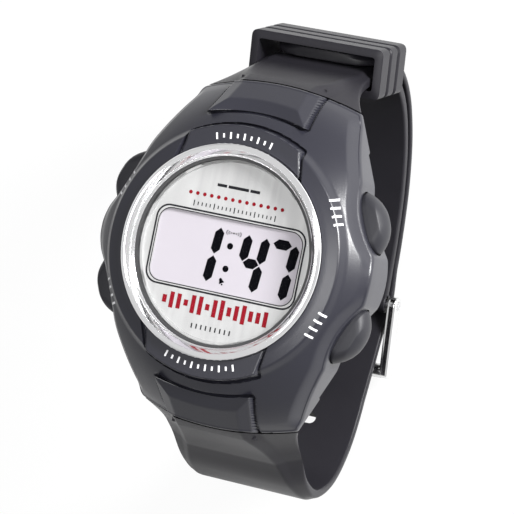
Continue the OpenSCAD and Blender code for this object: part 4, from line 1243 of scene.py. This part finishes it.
def shield_ticks(label, count, mid_angle):
    for i in range(count):
        a = mid_angle + (i - (count - 1) / 2) * TICK_STEP
        name = "shield_%s_tick_%d" % (label, i)
        case_print(name, TICK_R * math.cos(a), TICK_R * math.sin(a), TICK_LENS[i % 2], TICK_W, a)


def button_marks(label, cx, cy):
    """Row of four bars beside a button."""
    turn = BUTTONS[label]
    for i in range(4):
        offset = (i - 1.5) * MARK_STEP
        x, y = cx - offset * math.sin(turn), cy + offset * math.cos(turn)
        case_print("%s_mark_%d" % (label, i), x, y, MARK_LEN, MARK_W, turn)


shield_ticks("12", 9, math.pi / 2)
shield_ticks("6", 11, -math.pi / 2)
for label, (mark_x, mark_y) in MARKS.items():
    button_marks(label, mark_x, mark_y)


# Stage, lamps and camera

PHOTO_SIZE = 514
FOCAL_PIXELS = 2816.72
SENSOR_W = 36.0
CAMERA_PLACE = (158.404, 5.843, 379.79)
CAMERA_RIGHT = (0.903875, 0.199512, -0.378425)
CAMERA_DOWN = (0.189476, -0.979797, -0.063999)
CAMERA_AHEAD = (-0.383548, -0.013856, -0.923417)
FLOOR_DROP = 0.05
FLOOR_HALF = 1500.0
FLOOR_GLOW = 0.93
DIFFUSE_WORLD = 0.25
GLOSSY_WORLD = 0.75


def plain_floor():
    """White floor that keeps a soft shadow and shows white to the camera."""
    material, nodes, links = new_material("white_floor")
    shader = nodes["Principled BSDF"]
    shader.inputs["Base Color"].default_value = (0.6, 0.6, 0.6, 1)
    shader.inputs["Roughness"].default_value = 0.9
    glow = nodes.new("ShaderNodeEmission")
    glow.inputs["Color"].default_value = (1, 1, 1, 1)
    seen = nodes.new("ShaderNodeLightPath")
    most = nodes.new("ShaderNodeMath")
    most.operation = "MULTIPLY"
    most.inputs[1].default_value = FLOOR_GLOW
    blend = nodes.new("ShaderNodeMixShader")
    links.new(seen.outputs["Is Camera Ray"], most.inputs[0])
    links.new(most.outputs[0], blend.inputs[0])
    links.new(shader.outputs[0], blend.inputs[1])
    links.new(glow.outputs[0], blend.inputs[2])
    links.new(blend.outputs[0], nodes["Material Output"].inputs["Surface"])
    z = cad_box[0][2] / MM - FLOOR_DROP
    points = [(x * FLOOR_HALF, y * FLOOR_HALF, z) for x, y in ((-1, -1), (1, -1), (1, 1), (-1, 1))]
    floor = mesh_piece("floor", points, [(0, 1, 2, 3)], material, body=None, smooth=False)


def white_world():
    """White to the camera, dimmer as light, and in between as seen in polished faces."""
    world = bpy.data.worlds.new("studio")
    bpy.context.scene.world = world
    world.use_nodes = True
    nodes, links = world.node_tree.nodes, world.node_tree.links
    background = nodes["Background"]
    background.inputs["Color"].default_value = (1, 1, 1, 1)
    seen = nodes.new("ShaderNodeLightPath")
    glossy = nodes.new("ShaderNodeMix")
    glossy.data_type = "FLOAT"
    glossy.inputs["A"].default_value = DIFFUSE_WORLD
    glossy.inputs["B"].default_value = GLOSSY_WORLD
    strength = nodes.new("ShaderNodeMix")
    strength.data_type = "FLOAT"
    strength.inputs["B"].default_value = 1.0
    links.new(seen.outputs["Is Glossy Ray"], glossy.inputs["Factor"])
    links.new(glossy.outputs["Result"], strength.inputs["A"])
    links.new(seen.outputs["Is Camera Ray"], strength.inputs["Factor"])
    links.new(strength.outputs["Result"], background.inputs["Strength"])


def soft_lamp(name, place, size, power):
    """Round soft light that looks at the dial."""
    data = bpy.data.lights.new(name, "AREA")
    data.shape = "DISK"
    data.size = size * MM
    data.energy = power
    lamp = bpy.data.objects.new(name, data)
    bpy.context.collection.objects.link(lamp)
    lamp.location = Vector(place) * MM
    lamp.rotation_euler = (-Vector(place)).to_track_quat("-Z", "Y").to_euler()


def photo_camera():
    """Camera at the photograph's place, with its up direction turned by the photo's roll."""
    place, ahead = Vector(CAMERA_PLACE), Vector(CAMERA_AHEAD)
    right, down = Vector(CAMERA_RIGHT), Vector(CAMERA_DOWN)
    data = bpy.data.cameras.new("photo_camera")
    data.sensor_width = SENSOR_W
    data.lens = SENSOR_W * FOCAL_PIXELS / PHOTO_SIZE
    camera = bpy.data.objects.new("photo_camera", data)
    bpy.context.collection.objects.link(camera)
    axes = Matrix((right, -down, -ahead)).transposed().to_4x4()
    camera.matrix_world = Matrix.Translation(place * MM) @ axes
    bpy.context.scene.camera = camera


plain_floor()
white_world()
soft_lamp("key", (400, 240, 220), 200, 9.0)
soft_lamp("top", (60, -40, 500), 300, 2.4)
photo_camera()
bpy.context.scene.view_settings.view_transform = "Standard"
